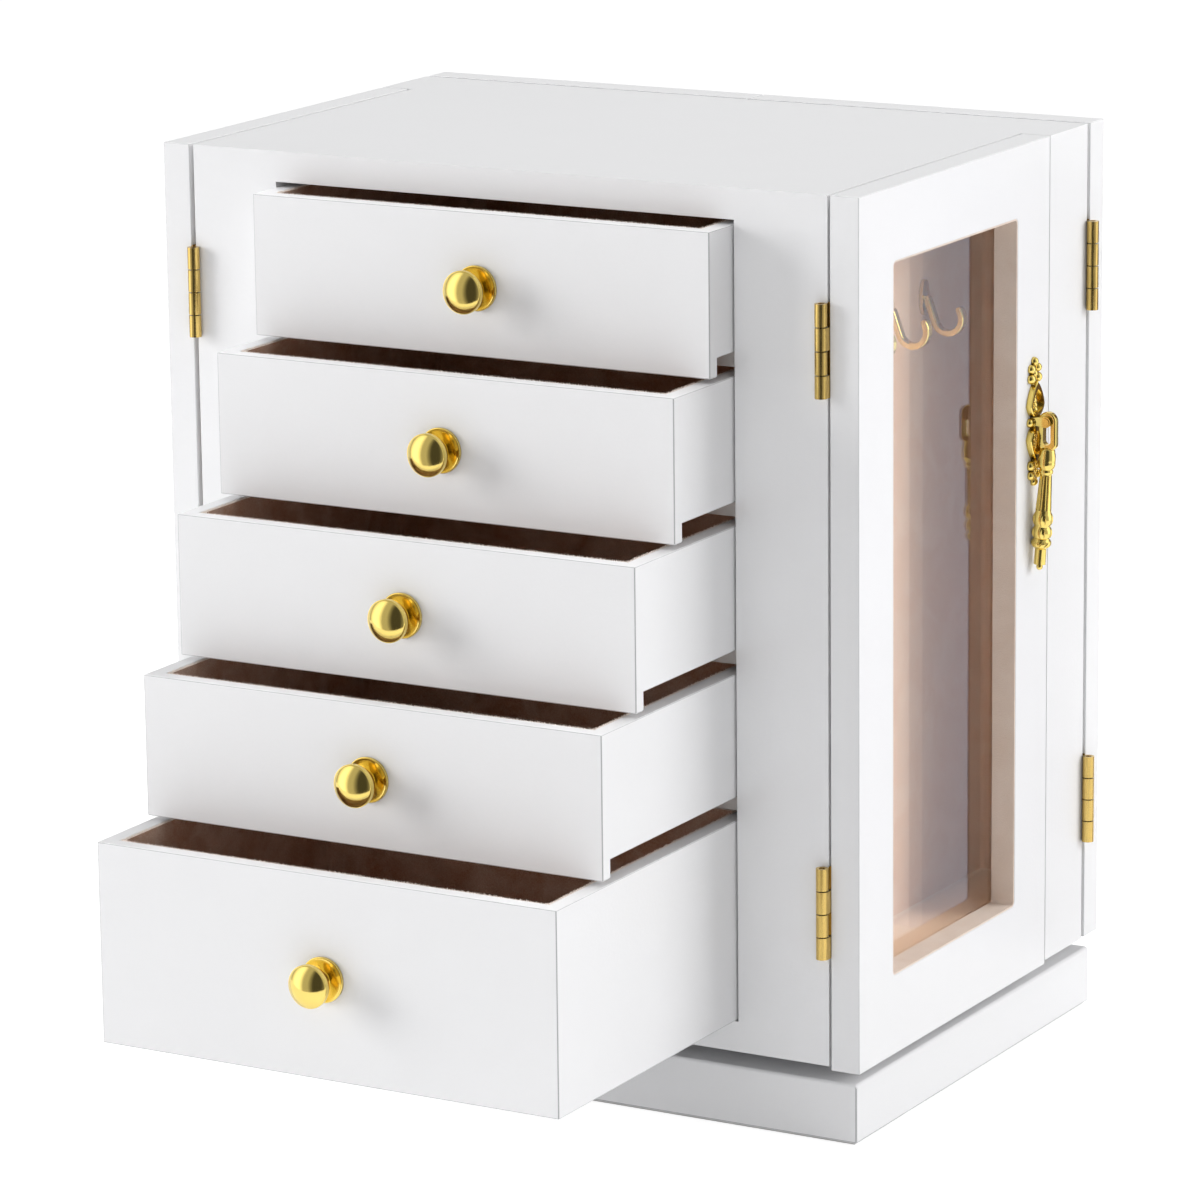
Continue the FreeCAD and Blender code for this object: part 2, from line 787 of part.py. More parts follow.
def knob(index):
    """The knob on its drawer, with the screw that holds it."""
    place = knob_place(index)
    body = turned(knob_body(), 90, X)
    body.translate(place)
    hole = rod(knob_screw_radius + running_clearance, place, Y * -1, knob_screw_bite + running_clearance)
    return [body.cut(hole), knob_screw(index)]


# Side doors: two stiles and two rails with a rounded window, glass in a rebate behind it

glass_seat_x = door_inner_x + glass_recess + glass_thickness


def window_grown(span, extra):
    return (span[0] - extra, span[1] + extra)


def side_door_frame():
    """The right-hand door's four boards. The rails carry the window's rounded corners."""
    x_range = (door_inner_x, door_outer_x)
    z_range = (side_door_bottom_z, carcass_top_z)
    slab = box(x_range, (front_y, side_door_end_y), z_range)
    through = window_grown(x_range, 1.0)
    window = rounded_opening(through, window_y, window_z, window_corner_radius)
    rebate = box((through[0], glass_seat_x), window_grown(window_y, glass_margin),
                 window_grown(window_z, glass_margin))
    slab = slab.cut([window, rebate, side_strike(1, running_clearance)]
                    + hinge_screw_holes(1, True, True))
    parts = [box(through, (front_y, window_y[0]), z_range),
             box(through, (window_y[1], side_door_end_y), z_range),
             box(through, window_y, (side_door_bottom_z, window_z[0])),
             box(through, window_y, (window_z[1], carcass_top_z))]
    return [slab.common(part).Solids[0] for part in parts]


def side_door_glass():
    margin = glass_margin - glass_edge_clearance
    return box((glass_seat_x - glass_thickness, glass_seat_x), window_grown(window_y, margin),
               window_grown(window_z, margin))


def side_door_jamb_lining():
    x_range = (glass_seat_x, door_outer_x - jamb_lining_setback)
    sleeve = rounded_opening(x_range, window_y, window_z, window_corner_radius)
    inner = rounded_opening(window_grown(x_range, 1.0), window_grown(window_y, -jamb_lining_thickness),
                            window_grown(window_z, -jamb_lining_thickness),
                            window_corner_radius - jamb_lining_thickness)
    return sleeve.cut(inner)


def back_door_panel():
    """The right-hand back door, a plain board."""
    board = box((back_door_meeting_gap / 2, door_outer_x), (back_door_front_y, back_door_rear_y),
                (carcass_bottom_z, carcass_top_z))
    stud = placed_pull_piece(pull_stud(running_clearance), 1, False)
    return board.cut([back_strike(1, running_clearance), stud] + hinge_screw_holes(1, False, True))


# Drop pulls, drawn on the plane x = 0 with their middle at the origin and the door behind them at -X

def lobe(y, z, radius):
    """A rounded bead that stands on the plate's base."""
    ball = Part.makeSphere(radius, point(0.25 * radius, y, z))
    return ball.common(box((0, 2 * radius), (y - radius, y + radius), (z - radius, z + radius)))


def leaf_outline(inset):
    """Half-leaf edges above the boss, drawn in the plane x = 0 and inset evenly enough for a rim."""
    tip = point(0, 0, pull_leaf_tip - 2.2 * inset)
    foot = point(0, 0, pull_leaf_start + 1.4 * inset)
    wide = pull_leaf_half_width - inset
    edges = []
    for side in (1, -1):
        widest = point(0, side * wide, pull_leaf_widest)
        upper_mid = point(0, side * 0.62 * wide, 0.5 * (pull_leaf_widest + tip.z) + 0.6)
        lower_mid = point(0, side * 0.66 * wide, 0.5 * (pull_leaf_widest + foot.z) - 0.7)
        edges.append(Part.Arc(tip, upper_mid, widest).toShape())
        edges.append(Part.Arc(widest, lower_mid, foot).toShape())
    return Part.Face(Part.Wire(Part.__sortEdges__(edges)))


def pull_leaf():
    """A leaf with a raised rim round a sunk field, and a beaded vein."""
    leaf = leaf_outline(0).extrude(X * pull_plate_relief)
    rounded = [edge for edge in leaf.Edges if edge.BoundBox.XMin > pull_plate_relief - 0.01]
    leaf = leaf.makeChamfer(0.35, rounded)
    field = leaf_outline(pull_leaf_rim)
    field.translate(X * pull_plate_base)
    leaf = leaf.cut(field.extrude(X * pull_plate_relief))
    beads = []
    for index in range(5):
        z = pull_leaf_start + 3.2 + 1.75 * index
        beads.append(lobe(0, z, 1.5 - 0.14 * index))
    return [leaf] + beads


def pull_crest():
    """The beads and the three-lobed end beyond a leaf's tip."""
    stalk = box((0, pull_plate_base + 0.2), (-1.5, 1.5), (pull_leaf_tip - 2.0, 23.0))
    rows = [(2.9, 16.6, 1.9), (2.7, 20.3, 1.8)]
    lobes = [lobe(side * y, z, radius) for y, z, radius in rows for side in (1, -1)]
    lobes += [lobe(0, 18.4, 1.5), lobe(0, 22.9, 1.75)]
    return [stalk] + lobes


def pull_stud(extra=0.0):
    return rod(pull_stud_radius + extra, point(0.2, 0, 0), X * -1, pull_stud_length + 0.2 + extra)


def pull_ear(start_y, side):
    """One of the two lugs that carry the pin, tapering out to a round end."""
    foot_half = 0.6 * pull_ear_radius
    low = point(pull_pivot_out, start_y, pull_pivot_up - pull_ear_radius)
    high = point(pull_pivot_out, start_y, pull_pivot_up + pull_ear_radius)
    foot_low = point(0.5, start_y, pull_pivot_up - foot_half)
    foot_high = point(0.5, start_y, pull_pivot_up + foot_half)
    nose = point(pull_pivot_out + pull_ear_radius, start_y, pull_pivot_up)
    edges = [Part.makeLine(foot_low, low), Part.Arc(low, nose, high).toShape(),
             Part.makeLine(high, foot_high), Part.makeLine(foot_high, foot_low)]
    return Part.Face(Part.Wire(edges)).extrude(Y * (side * pull_ear_thickness))


def pull_plate():
    upper = pull_leaf() + pull_crest()
    lower = [turned(piece, 180, X) for piece in upper]
    boss = rod(pull_boss_radius, ORIGIN, X, pull_plate_relief)
    waist = [lobe(side * 3.7, 0, 1.7) for side in (1, -1)]
    inner = pull_link_width / 2 + pull_ear_gap
    outer = inner + pull_ear_thickness
    pivot = point(pull_pivot_out, 0, pull_pivot_up)
    ears = [pull_ear(side * inner, side) for side in (1, -1)]
    pin_half = outer + pull_pin_projection
    pin = rod(pull_pin_radius, point(pivot.x, -pin_half, pivot.z), Y, 2 * pin_half)
    return fused(upper + lower + [boss] + waist + ears + [pin, pull_stud()])


def pull_link():
    """The long eye at the drop's top, which hangs on the pin. The pin's axis is the origin."""
    slot = pull_pin_radius + running_clearance
    outer = slot + pull_link_thickness
    half = pull_link_width / 2
    link = fused([rod(outer, Y * -half, Y, 2 * half),
                  box((-outer, outer), (-half, half), (-pull_link_fall, 0))])
    foot_corners = [edge for edge in link.Edges if edge.BoundBox.ZMax < 0.01 - pull_link_fall
                    and edge.BoundBox.YLength > half]
    link = link.makeFillet(pull_link_foot_radius, foot_corners)
    rims = [edge for edge in link.Edges if edge.BoundBox.YLength < 0.01 and edge.BoundBox.ZMax > 0]
    link = link.makeFillet(pull_link_rounding, rims)
    slot_end = point(0, -half, pull_link_foot - pull_link_fall)
    return link.cut([rod(slot, Y * -half, Y, 2 * half), rod(slot, slot_end, Y, 2 * half),
                     box((-slot, slot), (-half, half), (slot_end.z, 0))])


def around(shape, count):
    """Copies of a shape, spaced evenly round Z."""
    return [turned(shape, 360 * index / count) for index in range(count)]


def pull_pendant():
    """The turned part of the drop, down from z = 0: bell, fluted rod, two lobed beads, twisted ring, stem."""
    outline = [
        (0, 1.0), (1.8, 1.0), (2.9, -0.6), (3.3, -4.6), (2.5, -7.4), (2.7, -7.9), (2.7, -8.7),
        (2.25, -9.3), (3.0, -23.3), (3.1, -24.1), (3.1, -29.1), (3.1, -29.6), (3.1, -34.0),
        (3.2, -34.4), (3.2, -37.3), (2.2, -38.1), (2.3, -44.1), (1.1, -44.6), (0, -46.5)]
    bulges = {
        1: (2.55, 0.5), 2: (3.25, -2.4), 3: (3.15, -6.3), 9: (3.9, -26.6), 11: (3.9, -31.8),
        13: (3.85, -35.8), 17: cap_bulge(outline[17], outline[18])}
    body = spun(outline, bulges)
    flute_foot = point(3.2, 0, -23.0)
    flute_top = point(2.45, 0, -9.7)
    flute = rod(pull_flute_radius, flute_foot, flute_top - flute_foot, (flute_top - flute_foot).Length)
    lobe_seam = rod(pull_seam_radius, point(4.7, 0, -34.2), Z, 10.6)
    twist = rod(0.35, point(3.8, -1.5, -37.6), Y + Z, 4.4)
    cuts = around(flute, pull_flute_count) + around(lobe_seam, pull_lobe_count)
    return body.cut(cuts + around(twist, pull_twist_count))


def pull_drop():
    """The whole drop, in the same frame as the pull's plate."""
    pendant = turned(pull_pendant(), pull_drop_lean_degrees, Y)
    pendant.translate(point(-pull_drop_offset, 0, -pull_link_fall))
    drop = fused([pull_link(), pendant])
    drop.translate(point(pull_pivot_out, 0, pull_pivot_up))
    return drop


def placed_pull_piece(piece, side, is_side_door):
    if is_side_door:
        placed = moved(piece, door_outer_x, free_stile_y, pull_z)
    else:
        placed = moved(turned(piece, 90), back_pull_x, back_door_rear_y, pull_z)
    return on_side(placed, side)


# Every node of the part, by name

nodes = {
    "base_rails": base_rails(),
    "base_top_board": [base_top_board()],
    "base_felt": [base_felt()],
    "turntable_lower_plate": [turntable_plate(-1)],
    "turntable_lower_screws": turntable_screws(-1),
    "turntable_ball_cage": turntable_ball_cage(),
    "turntable_upper_plate": [turntable_plate(1)],
    "turntable_upper_screws": turntable_screws(1),
    "bottom_panel": [bottom_panel()],
    "top_panel": [top_panel()],
    "front_stiles": [front_stile(1), front_stile(-1)],
    "rear_frame": [rear_stile(1), rear_stile(-1), rear_post(1), rear_post(-1)],
    "bay_panels": [bay_wall(1), bay_wall(-1), bay_back()],
    "drawer_shelves": [drawer_shelf(index) for index in range(small_drawer_count)],
    "compartment_floors": [compartment_floor(1), compartment_floor(-1)],
    "compartment_linings": [side_compartment_lining(1), side_compartment_lining(-1),
                            back_compartment_lining()],
    "necklace_hooks": necklace_hooks(),
    "carcass_hinge_halves": carcass_hinge_halves(),
    "hinge_pins": hinge_pins(),
    "door_magnets": door_magnets(),
}

for index in range(small_drawer_count + 1):
    name = "drawer_%d" % (index + 1)
    nodes[name + "_front"] = [drawer_front(index)]
    nodes[name + "_box"] = drawer_box(index)
    nodes[name + "_lining"] = [drawer_lining(index)]
    nodes[name + "_knob"] = knob(index)

for side, side_name in ((1, "right"), (-1, "left")):
    stud_hole = pull_stud(running_clearance)
    stud_hole.translate(point(door_outer_x, free_stile_y, pull_z))
    frame = [board.cut(stud_hole) for board in side_door_frame()]
    nodes[side_name + "_door_frame"] = [on_side(board, side) for board in frame]
    nodes[side_name + "_door_jamb_lining"] = [on_side(side_door_jamb_lining(), side)]
    nodes[side_name + "_door_glass"] = [on_side(side_door_glass(), side)]
    nodes[side_name + "_door_hardware"] = door_hinge_halves(side, True) + [side_strike(side)]
    nodes[side_name + "_door_pull_plate"] = [placed_pull_piece(pull_plate(), side, True)]
    nodes[side_name + "_door_pull_drop"] = [placed_pull_piece(pull_drop(), side, True)]
    nodes["back_" + side_name + "_door_panel"] = [on_side(back_door_panel(), side)]
    nodes["back_" + side_name + "_door_hardware"] = door_hinge_halves(side, False) + [back_strike(side)]
    nodes["back_" + side_name + "_door_pull_plate"] = [placed_pull_piece(pull_plate(), side, False)]
    nodes["back_" + side_name + "_door_pull_drop"] = [placed_pull_piece(pull_drop(), side, False)]

os.makedirs("parts", exist_ok=True)
for name, solids in nodes.items():
    shape = solids[0] if len(solids) == 1 else compound(solids)
    shape.exportStep("parts/" + name + ".step")
print("nodes", len(nodes), "solids", sum(len(solids) for solids in nodes.values()))
print("overall height %.1f, width %.1f, depth %.1f" % (carcass_top_z, 2 * door_outer_x, overall_depth))
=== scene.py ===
import logging
import math
import random
from dataclasses import dataclass, field
from enum import Enum
from typing import Callable, Iterable, Optional, Sequence, Union

import bmesh
import bpy
from mathutils import Matrix, Vector


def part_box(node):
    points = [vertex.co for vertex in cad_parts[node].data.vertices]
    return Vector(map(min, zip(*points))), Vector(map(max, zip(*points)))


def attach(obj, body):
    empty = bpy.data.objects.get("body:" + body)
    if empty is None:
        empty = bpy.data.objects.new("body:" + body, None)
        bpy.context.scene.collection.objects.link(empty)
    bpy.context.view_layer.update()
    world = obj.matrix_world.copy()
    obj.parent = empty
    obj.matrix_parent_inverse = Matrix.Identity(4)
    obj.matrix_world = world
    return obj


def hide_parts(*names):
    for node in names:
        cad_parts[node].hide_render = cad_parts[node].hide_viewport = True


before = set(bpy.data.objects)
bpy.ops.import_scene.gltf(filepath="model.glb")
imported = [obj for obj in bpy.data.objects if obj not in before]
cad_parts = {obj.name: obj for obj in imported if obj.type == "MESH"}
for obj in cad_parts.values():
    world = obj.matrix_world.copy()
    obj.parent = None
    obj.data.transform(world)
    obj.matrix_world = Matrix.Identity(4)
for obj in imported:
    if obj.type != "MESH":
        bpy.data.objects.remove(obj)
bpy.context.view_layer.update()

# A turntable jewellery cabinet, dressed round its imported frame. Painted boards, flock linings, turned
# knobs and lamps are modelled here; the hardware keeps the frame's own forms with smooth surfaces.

MM = 0.001
WELD = 0.00001
FLAT = math.radians(0.5)
EASED = "eased"
UPRIGHT = 0.3
METAL_CREASE = 30.0
log = logging.getLogger("cabinet")

Tree = bpy.types.NodeTree
Node = bpy.types.Node
Socket = bpy.types.NodeSocket
Inputs = bpy.types.NodeInputs
Outputs = bpy.types.NodeOutputs
Feed = Union[Socket, float, tuple]
Corner = tuple[float, float, float]


class Slot(Enum):
    """The record's material slots."""

    PAINT = "white_painted_board"
    DRAWER_FLOCK = "drawer_lining"
    WALL_FLOCK = "compartment_lining"
    GOLD = "gold_fittings"
    HINGE = "brass_hinges"


class Open(Enum):
    """The side on which a lining tray has no wall, besides its top."""

    NONE = (0, 0)
    PLUS_X = (1, 0)
    MINUS_X = (-1, 0)
    PLUS_Y = (0, 1)


class Join(Enum):
    """How boards are put together into one painted piece."""

    UNITE = "UNION"
    CUT = "DIFFERENCE"


def linear(red: int, green: int, blue: int) -> Corner:
    """Turns a screen colour into the renderer's linear one.

    Args:
        red: Red from 0 to 255.
        green: Green from 0 to 255.
        blue: Blue from 0 to 255.

    Returns:
        The three linear values from 0 to 1.
    """
    def channel(value: int) -> float:
        """Undoes the screen's curve for one channel."""
        share = value / 255
        return share / 12.92 if share <= 0.04045 else ((share + 0.055) / 1.055) ** 2.4

    return channel(red), channel(green), channel(blue)


def darker(tone: Corner, share: float) -> Corner:
    """Darkens a linear colour.

    Args:
        tone: The colour.
        share: What is left of it.

    Returns:
        The darker colour.
    """
    return tuple(share * value for value in tone)


# Shader nodes

def feed(tree: Tree, node: Node, feeds: dict) -> None:
    """Feeds a shader node's inputs.

    Args:
        tree: The tree that the node is in.
        node: The node.
        feeds: For each input's name or number, a socket to link or a constant.
    """
    for key, given in feeds.items():
        socket = node.inputs[key]
        if isinstance(given, Socket):
            tree.links.new(given, socket)
        elif socket.type == "RGBA":
            socket.default_value = (*given, 1.0)
        else:
            socket.default_value = given


def put(tree: Tree, kind: str, feeds: dict, **settings) -> Node:
    """Adds a shader node, sets it up and feeds its inputs.

    Args:
        tree: The tree that the node goes into.
        kind: The node's type, without the words ShaderNode in front.
        feeds: For each input's name or number, a socket to link or a constant.
        **settings: Values for the node's own properties.

    Returns:
        The new node.
    """
    node = tree.nodes.new("ShaderNode" + kind)
    for name, value in settings.items():
        setattr(node, name, value)
    feed(tree, node, feeds)
    return node


def blended(tree: Tree, mask: Feed, first: Feed, second: Feed) -> Socket:
    """Mixes two colours by a mask.

    Args:
        tree: The tree to add to.
        mask: The share of the second colour.
        first: A colour socket or a linear colour.
        second: A colour socket or a linear colour.

    Returns:
        The mixed colour's socket.
    """
    return put(tree, "Mix", {0: mask, 6: first, 7: second}, data_type="RGBA").outputs[2]


def ranged(tree: Tree, value: Feed, low: float, high: float,
           to_low: float = 0.0, to_high: float = 1.0) -> Socket:
    """Maps one range of values to another and clamps it.

    Args:
        tree: The tree to add to.
        value: The value to map.
        low: The value that becomes to_low.
        high: The value that becomes to_high.
        to_low: The result at low.
        to_high: The result at high.

    Returns:
        The mapped value's socket.
    """
    return put(tree, "MapRange", {0: value, 1: low, 2: high, 3: to_low, 4: to_high}).outputs[0]


def reckoned(tree: Tree, operation: str, first: Feed, second: Feed) -> Socket:
    """Adds a sum or another piece of arithmetic.

    Args:
        tree: The tree to add to.
        operation: The Math node's operation.
        first: The first value.
        second: The second value.

    Returns:
        The result's socket.
    """
    return put(tree, "Math", {0: first, 1: second}, operation=operation).outputs[0]


@dataclass(frozen=True)
class Effect:
    """A surface effect that several finishes share, kept as one node group.

    Attributes:
        name: The group's name.
        entry: The name of its number input.
        outputs: The names of its number outputs.
        draw: Fills the group, given its tree, its input and its outputs by name.
    """

    name: str
    entry: str
    outputs: tuple
    draw: Callable

    def group(self) -> Tree:
        """Makes the node group on first use.

        Returns:
            The shared node group.
        """
        found = bpy.data.node_groups.get(self.name)
        if found:
            return found
        tree = bpy.data.node_groups.new(self.name, "ShaderNodeTree")
        tree.interface.new_socket(self.entry, in_out="INPUT", socket_type="NodeSocketFloat")
        for name in self.outputs:
            tree.interface.new_socket(name, in_out="OUTPUT", socket_type="NodeSocketFloat")
        entry = tree.nodes.new("NodeGroupInput")
        leave = tree.nodes.new("NodeGroupOutput")
        self.draw(tree, entry.outputs[0], leave.inputs)
        return tree

    def place(self, tree: Tree, value: Feed) -> Outputs:
        """Puts the effect into a material.

        Args:
            tree: The material's node tree.
            value: What its input gets.

        Returns:
            The effect's outputs, by name.
        """
        node = tree.nodes.new("ShaderNodeGroup")
        node.node_tree = self.group()
        feed(tree, node, {self.entry: value})
        return node.outputs


def draw_peel(tree: Tree, scale: Socket, out: Inputs) -> None:
    """Fills the orange-peel effect: soft ripples of sprayed paint with finer specks on them.

    Args:
        tree: The group's tree.
        scale: How many ripples a metre has.
        out: Its outputs by name.
    """
    place = put(tree, "TexCoord", {}).outputs["Object"]
    ripple = put(tree, "TexNoise", {"Vector": place, "Scale": scale, "Detail": 2.0,
                                    "Roughness": 0.45})
    fine = reckoned(tree, "MULTIPLY", scale, 3.7)
    speck = put(tree, "TexNoise", {"Vector": place, "Scale": fine, "Detail": 1.0})
    weighted = reckoned(tree, "MULTIPLY", speck.outputs[0], 0.35)
    tree.links.new(reckoned(tree, "ADD", ripple.outputs[0], weighted), out["Height"])


def draw_mottle(tree: Tree, scale: Socket, out: Inputs) -> None:
    """Fills the mottle effect: a slow, cloudy mask for small changes of tone and gloss.

    Args:
        tree: The group's tree.
        scale: How many clouds a metre has.
        out: Its outputs by name.
    """
    place = put(tree, "TexCoord", {}).outputs["Object"]
    cloud = put(tree, "TexNoise", {"Vector": place, "Scale": scale, "Detail": 3.0,
                                   "Roughness": 0.55})
    tree.links.new(ranged(tree, cloud.outputs[0], 0.34, 0.66), out["Mask"])


def draw_pile(tree: Tree, scale: Socket, out: Inputs) -> None:
    """Fills the flock effect: upright fibres as fine bumps, and the nap pushed about in patches.

    Args:
        tree: The group's tree.
        scale: How many fibres a metre has.
        out: Its outputs by name.
    """
    place = put(tree, "TexCoord", {}).outputs["Object"]
    fibre = put(tree, "TexNoise", {"Vector": place, "Scale": scale, "Detail": 4.0,
                                   "Roughness": 0.75})
    cell = put(tree, "TexVoronoi", {"Vector": place, "Scale": scale})
    height = reckoned(tree, "SUBTRACT", fibre.outputs[0],
                      reckoned(tree, "MULTIPLY", cell.outputs["Distance"], 0.4))
    tree.links.new(height, out["Height"])
    tree.links.new(ranged(tree, fibre.outputs[0], 0.35, 0.68), out["Fleck"])
    slow = reckoned(tree, "MULTIPLY", scale, 0.02)
    nap = put(tree, "TexNoise", {"Vector": place, "Scale": slow, "Detail": 2.5, "Distortion": 0.8})
    tree.links.new(ranged(tree, nap.outputs[0], 0.38, 0.64), out["Nap"])


def draw_brushing(tree: Tree, scale: Socket, out: Inputs) -> None:
    """Fills the brushing effect: fine lines that run up and down the metal.

    Args:
        tree: The group's tree.
        scale: How many lines a metre has.
        out: Its outputs by name.
    """
    place = put(tree, "TexCoord", {}).outputs["Object"]
    drawn_out = put(tree, "Mapping", {"Vector": place, "Scale": (1.0, 1.0, 0.04)})
    line = put(tree, "TexNoise", {"Vector": drawn_out.outputs[0], "Scale": scale,
                                  "Detail": 3.0, "Roughness": 0.7})
    tree.links.new(line.outputs[0], out["Line"])


def draw_hollow_shade(tree: Tree, reach: Socket, out: Inputs) -> None:
    """Fills the hollow-shade effect: an ambient-occlusion mask of the hollows between raised ornament, where
    shade falls.

    Args:
        tree: The group's tree.
        reach: How wide a hollow counts, in metres.
        out: Its outputs by name.
    """
    shut_in = put(tree, "AmbientOcclusion", {"Distance": reach}, samples=6)
    tree.links.new(ranged(tree, shut_in.outputs["AO"], 0.75, 0.25), out["Mask"])


PEEL = Effect("Sprayed paint ripple", "Scale", ("Height",), draw_peel)
MOTTLE = Effect("Slow mottle", "Scale", ("Mask",), draw_mottle)
PILE = Effect("Flock pile", "Scale", ("Height", "Fleck", "Nap"), draw_pile)
BRUSHING = Effect("Brushed lines", "Scale", ("Line",), draw_brushing)
HOLLOW_SHADE = Effect("Ornament hollow shade", "Reach", ("Mask",), draw_hollow_shade)


@dataclass(frozen=True)
class Finish:
    """A finish. Each kind of finish fills its own material.

    Attributes:
        name: What it is called.
        slot: The record's material slot, for a finish that pieces wear; not used.
        tone: Its colour.
    """

    name: str
    slot: Optional[Slot]
    tone: Corner

    def material(self) -> bpy.types.Material:
        """Makes the material on first use.

        Returns:
            The Blender material.
        """
        found = bpy.data.materials.get(self.name)
        if found:
            return found
        made = bpy.data.materials.new(self.name)
        made.use_nodes = True
        tree = made.node_tree
        feed(tree, tree.nodes["Principled BSDF"], self.feeds(tree))
        return made

    def feeds(self, tree: Tree) -> dict:
        """Gives what the material's shader is fed. Each kind of finish has its own way."""
        raise NotImplementedError


def bump(tree: Tree, height: Socket, strength: float, depth: float) -> Socket:
    """Lets a height change the normal.

    Args:
        tree: The material's tree.
        height: The height's socket.
        strength: How strong the bump is, from 0 to 1.
        depth: How deep it is, in metres.

    Returns:
        The normal's socket.
    """
    return put(tree, "Bump", {"Height": height, "Strength": strength, "Distance": depth}).outputs[0]


@dataclass(frozen=True)
class Lacquer(Finish):
    """Sprayed satin paint on board, with painted shade along its eased upright edges."""

    edge_shade_tone: Corner
    edge_shade_share: float = 0.7
    gloss: float = 0.3
    gloss_swing: float = 0.01
    specular: float = 0.42
    shade: float = 0.985
    cloud: float = 11.0
    ripple: float = 760.0
    ripple_strength: float = 0.3
    ripple_depth: float = 0.12 * MM

    def feeds(self, tree: Tree) -> dict:
        """Gives colour, gloss and ripple to the paint.

        Args:
            tree: The material's tree.

        Returns:
            The shader's feeds.
        """
        edge = put(tree, "Attribute", {}, attribute_name=EASED).outputs["Fac"]
        mottle = MOTTLE.place(tree, self.cloud)["Mask"]
        face = blended(tree, mottle, self.tone, darker(self.tone, self.shade))
        # Painted shade: the eased mark greys the paint towards edge_shade_tone on upright rounded bands.
        painted_edge_shade = reckoned(tree, "MULTIPLY", edge, self.edge_shade_share)
        return {"Base Color": blended(tree, painted_edge_shade, face, self.edge_shade_tone),
                "Roughness": ranged(tree, mottle, 0.0, 1.0, self.gloss - self.gloss_swing,
                                    self.gloss + self.gloss_swing),
                "Specular IOR Level": self.specular,
                "Normal": bump(tree, PEEL.place(tree, self.ripple)["Height"], self.ripple_strength,
                               self.ripple_depth)}


@dataclass(frozen=True)
class Metal(Finish):
    """A metal with clouds in its tone and painted shade in its hollows."""

    hollow_shade_tone: Corner

    def coloured(self, tree: Tree, hollow: Socket, mottle: Socket) -> Socket:
        """Mixes the metal's colour.

        Args:
            tree: The material's tree.
            hollow: The mask of its hollows.
            mottle: The mask of its clouds.

        Returns:
            The colour's socket.
        """
        face = blended(tree, reckoned(tree, "MULTIPLY", mottle, self.cloud_share), self.tone,
                       darker(self.tone, self.shade))
        # Painted shade: the hollows' ambient-occlusion mask darkens the colour towards hollow_shade_tone.
        return blended(tree, reckoned(tree, "MULTIPLY", hollow, self.hollow_shade_share), face, self.hollow_shade_tone)


@dataclass(frozen=True)
class Plated(Metal):
    """Polished plating on a casting, with soft waves in its gloss and painted shade in its hollows."""

    hollow_shade_share: float = 0.75
    deep_gloss: float = 0.2
    gloss: float = 0.1
    gloss_swing: float = 0.06
    shade: float = 0.85
    cloud: float = 90.0
    cloud_share: float = 0.25
    wave: float = 0.1
    wave_scale: float = 420.0
    wave_depth: float = 0.12 * MM
    recess: float = 1.5 * MM

    def feeds(self, tree: Tree) -> dict:
        """Gives colour, gloss and casting waves to the metal.

        Args:
            tree: The material's tree.

        Returns:
            The shader's feeds.
        """
        hollow = HOLLOW_SHADE.place(tree, self.recess)["Mask"]
        mottle = MOTTLE.place(tree, self.cloud)["Mask"]
        clouded = ranged(tree, mottle, 0.0, 1.0, self.gloss, self.gloss + self.gloss_swing)
        return {"Metallic": 1.0,
                "Base Color": self.coloured(tree, hollow, mottle),
                "Roughness": reckoned(tree, "ADD", clouded,
                                      reckoned(tree, "MULTIPLY", hollow, self.deep_gloss)),
                "Normal": bump(tree, PEEL.place(tree, self.wave_scale)["Height"], self.wave,
                               self.wave_depth)}


@dataclass(frozen=True)
class Brushed(Metal):
    """Rolled or brushed metal with fine lines and painted shade in its hollows."""

    hollow_shade_share: float = 0.7
    gloss: float = 0.3
    gloss_swing: tuple = (-0.05, 0.1)
    shade: float = 0.8
    cloud: float = 120.0
    cloud_share: float = 0.35
    lines: float = 1800.0
    line_strength: float = 0.12
    line_depth: float = 0.06 * MM
    recess: float = 1.2 * MM

    def feeds(self, tree: Tree) -> dict:
        """Gives colour, gloss and lines to the metal.

        Args:
            tree: The material's tree.

        Returns:
            The shader's feeds.
        """
        line = BRUSHING.place(tree, self.lines)["Line"]
        hollow = HOLLOW_SHADE.place(tree, self.recess)["Mask"]
        mottle = MOTTLE.place(tree, self.cloud)["Mask"]
        swings = (self.gloss + swing for swing in self.gloss_swing)
        return {"Metallic": 1.0,
                "Base Color": self.coloured(tree, hollow, mottle),
                "Roughness": ranged(tree, line, 0.3, 0.7, *swings),
                "Normal": bump(tree, line, self.line_strength, self.line_depth)}


@dataclass(frozen=True)
class Flock(Finish):
    """Short upright fibres glued to card or cloth."""

    light_tone: Corner
    tip_share: float = 0.4
    nap_share: float = 0.3
    roughness: float = 0.95
    specular: float = 0.15
    sheen: float = 0.5
    sheen_roughness: float = 0.45
    pile: float = 2600.0
    pile_strength: float = 0.6
    pile_depth: float = 0.3 * MM

    def feeds(self, tree: Tree) -> dict:
        """Gives colour, nap and fibres to the flock.

        Args:
            tree: The material's tree.

        Returns:
            The shader's feeds.
        """
        fibres = PILE.place(tree, self.pile)
        tipped = reckoned(tree, "MULTIPLY", fibres["Fleck"], self.tip_share)
        nap = reckoned(tree, "MULTIPLY", fibres["Nap"], self.nap_share)
        # The eased mark makes the flock paler: real fray along the drawers' cut edges, and painted light on
        # the compartments' upward faces.
        frayed = put(tree, "Attribute", {}, attribute_name=EASED).outputs["Fac"]
        lifted = reckoned(tree, "ADD", reckoned(tree, "ADD", tipped, nap), frayed)
        return {"Base Color": blended(tree, ranged(tree, lifted, 0.0, 1.0), self.tone, self.light_tone),
                "Roughness": self.roughness,
                "Specular IOR Level": self.specular,
                "Sheen Weight": self.sheen,
                "Sheen Roughness": self.sheen_roughness,
                "Sheen Tint": self.light_tone,
                "Normal": bump(tree, fibres["Height"], self.pile_strength, self.pile_depth)}


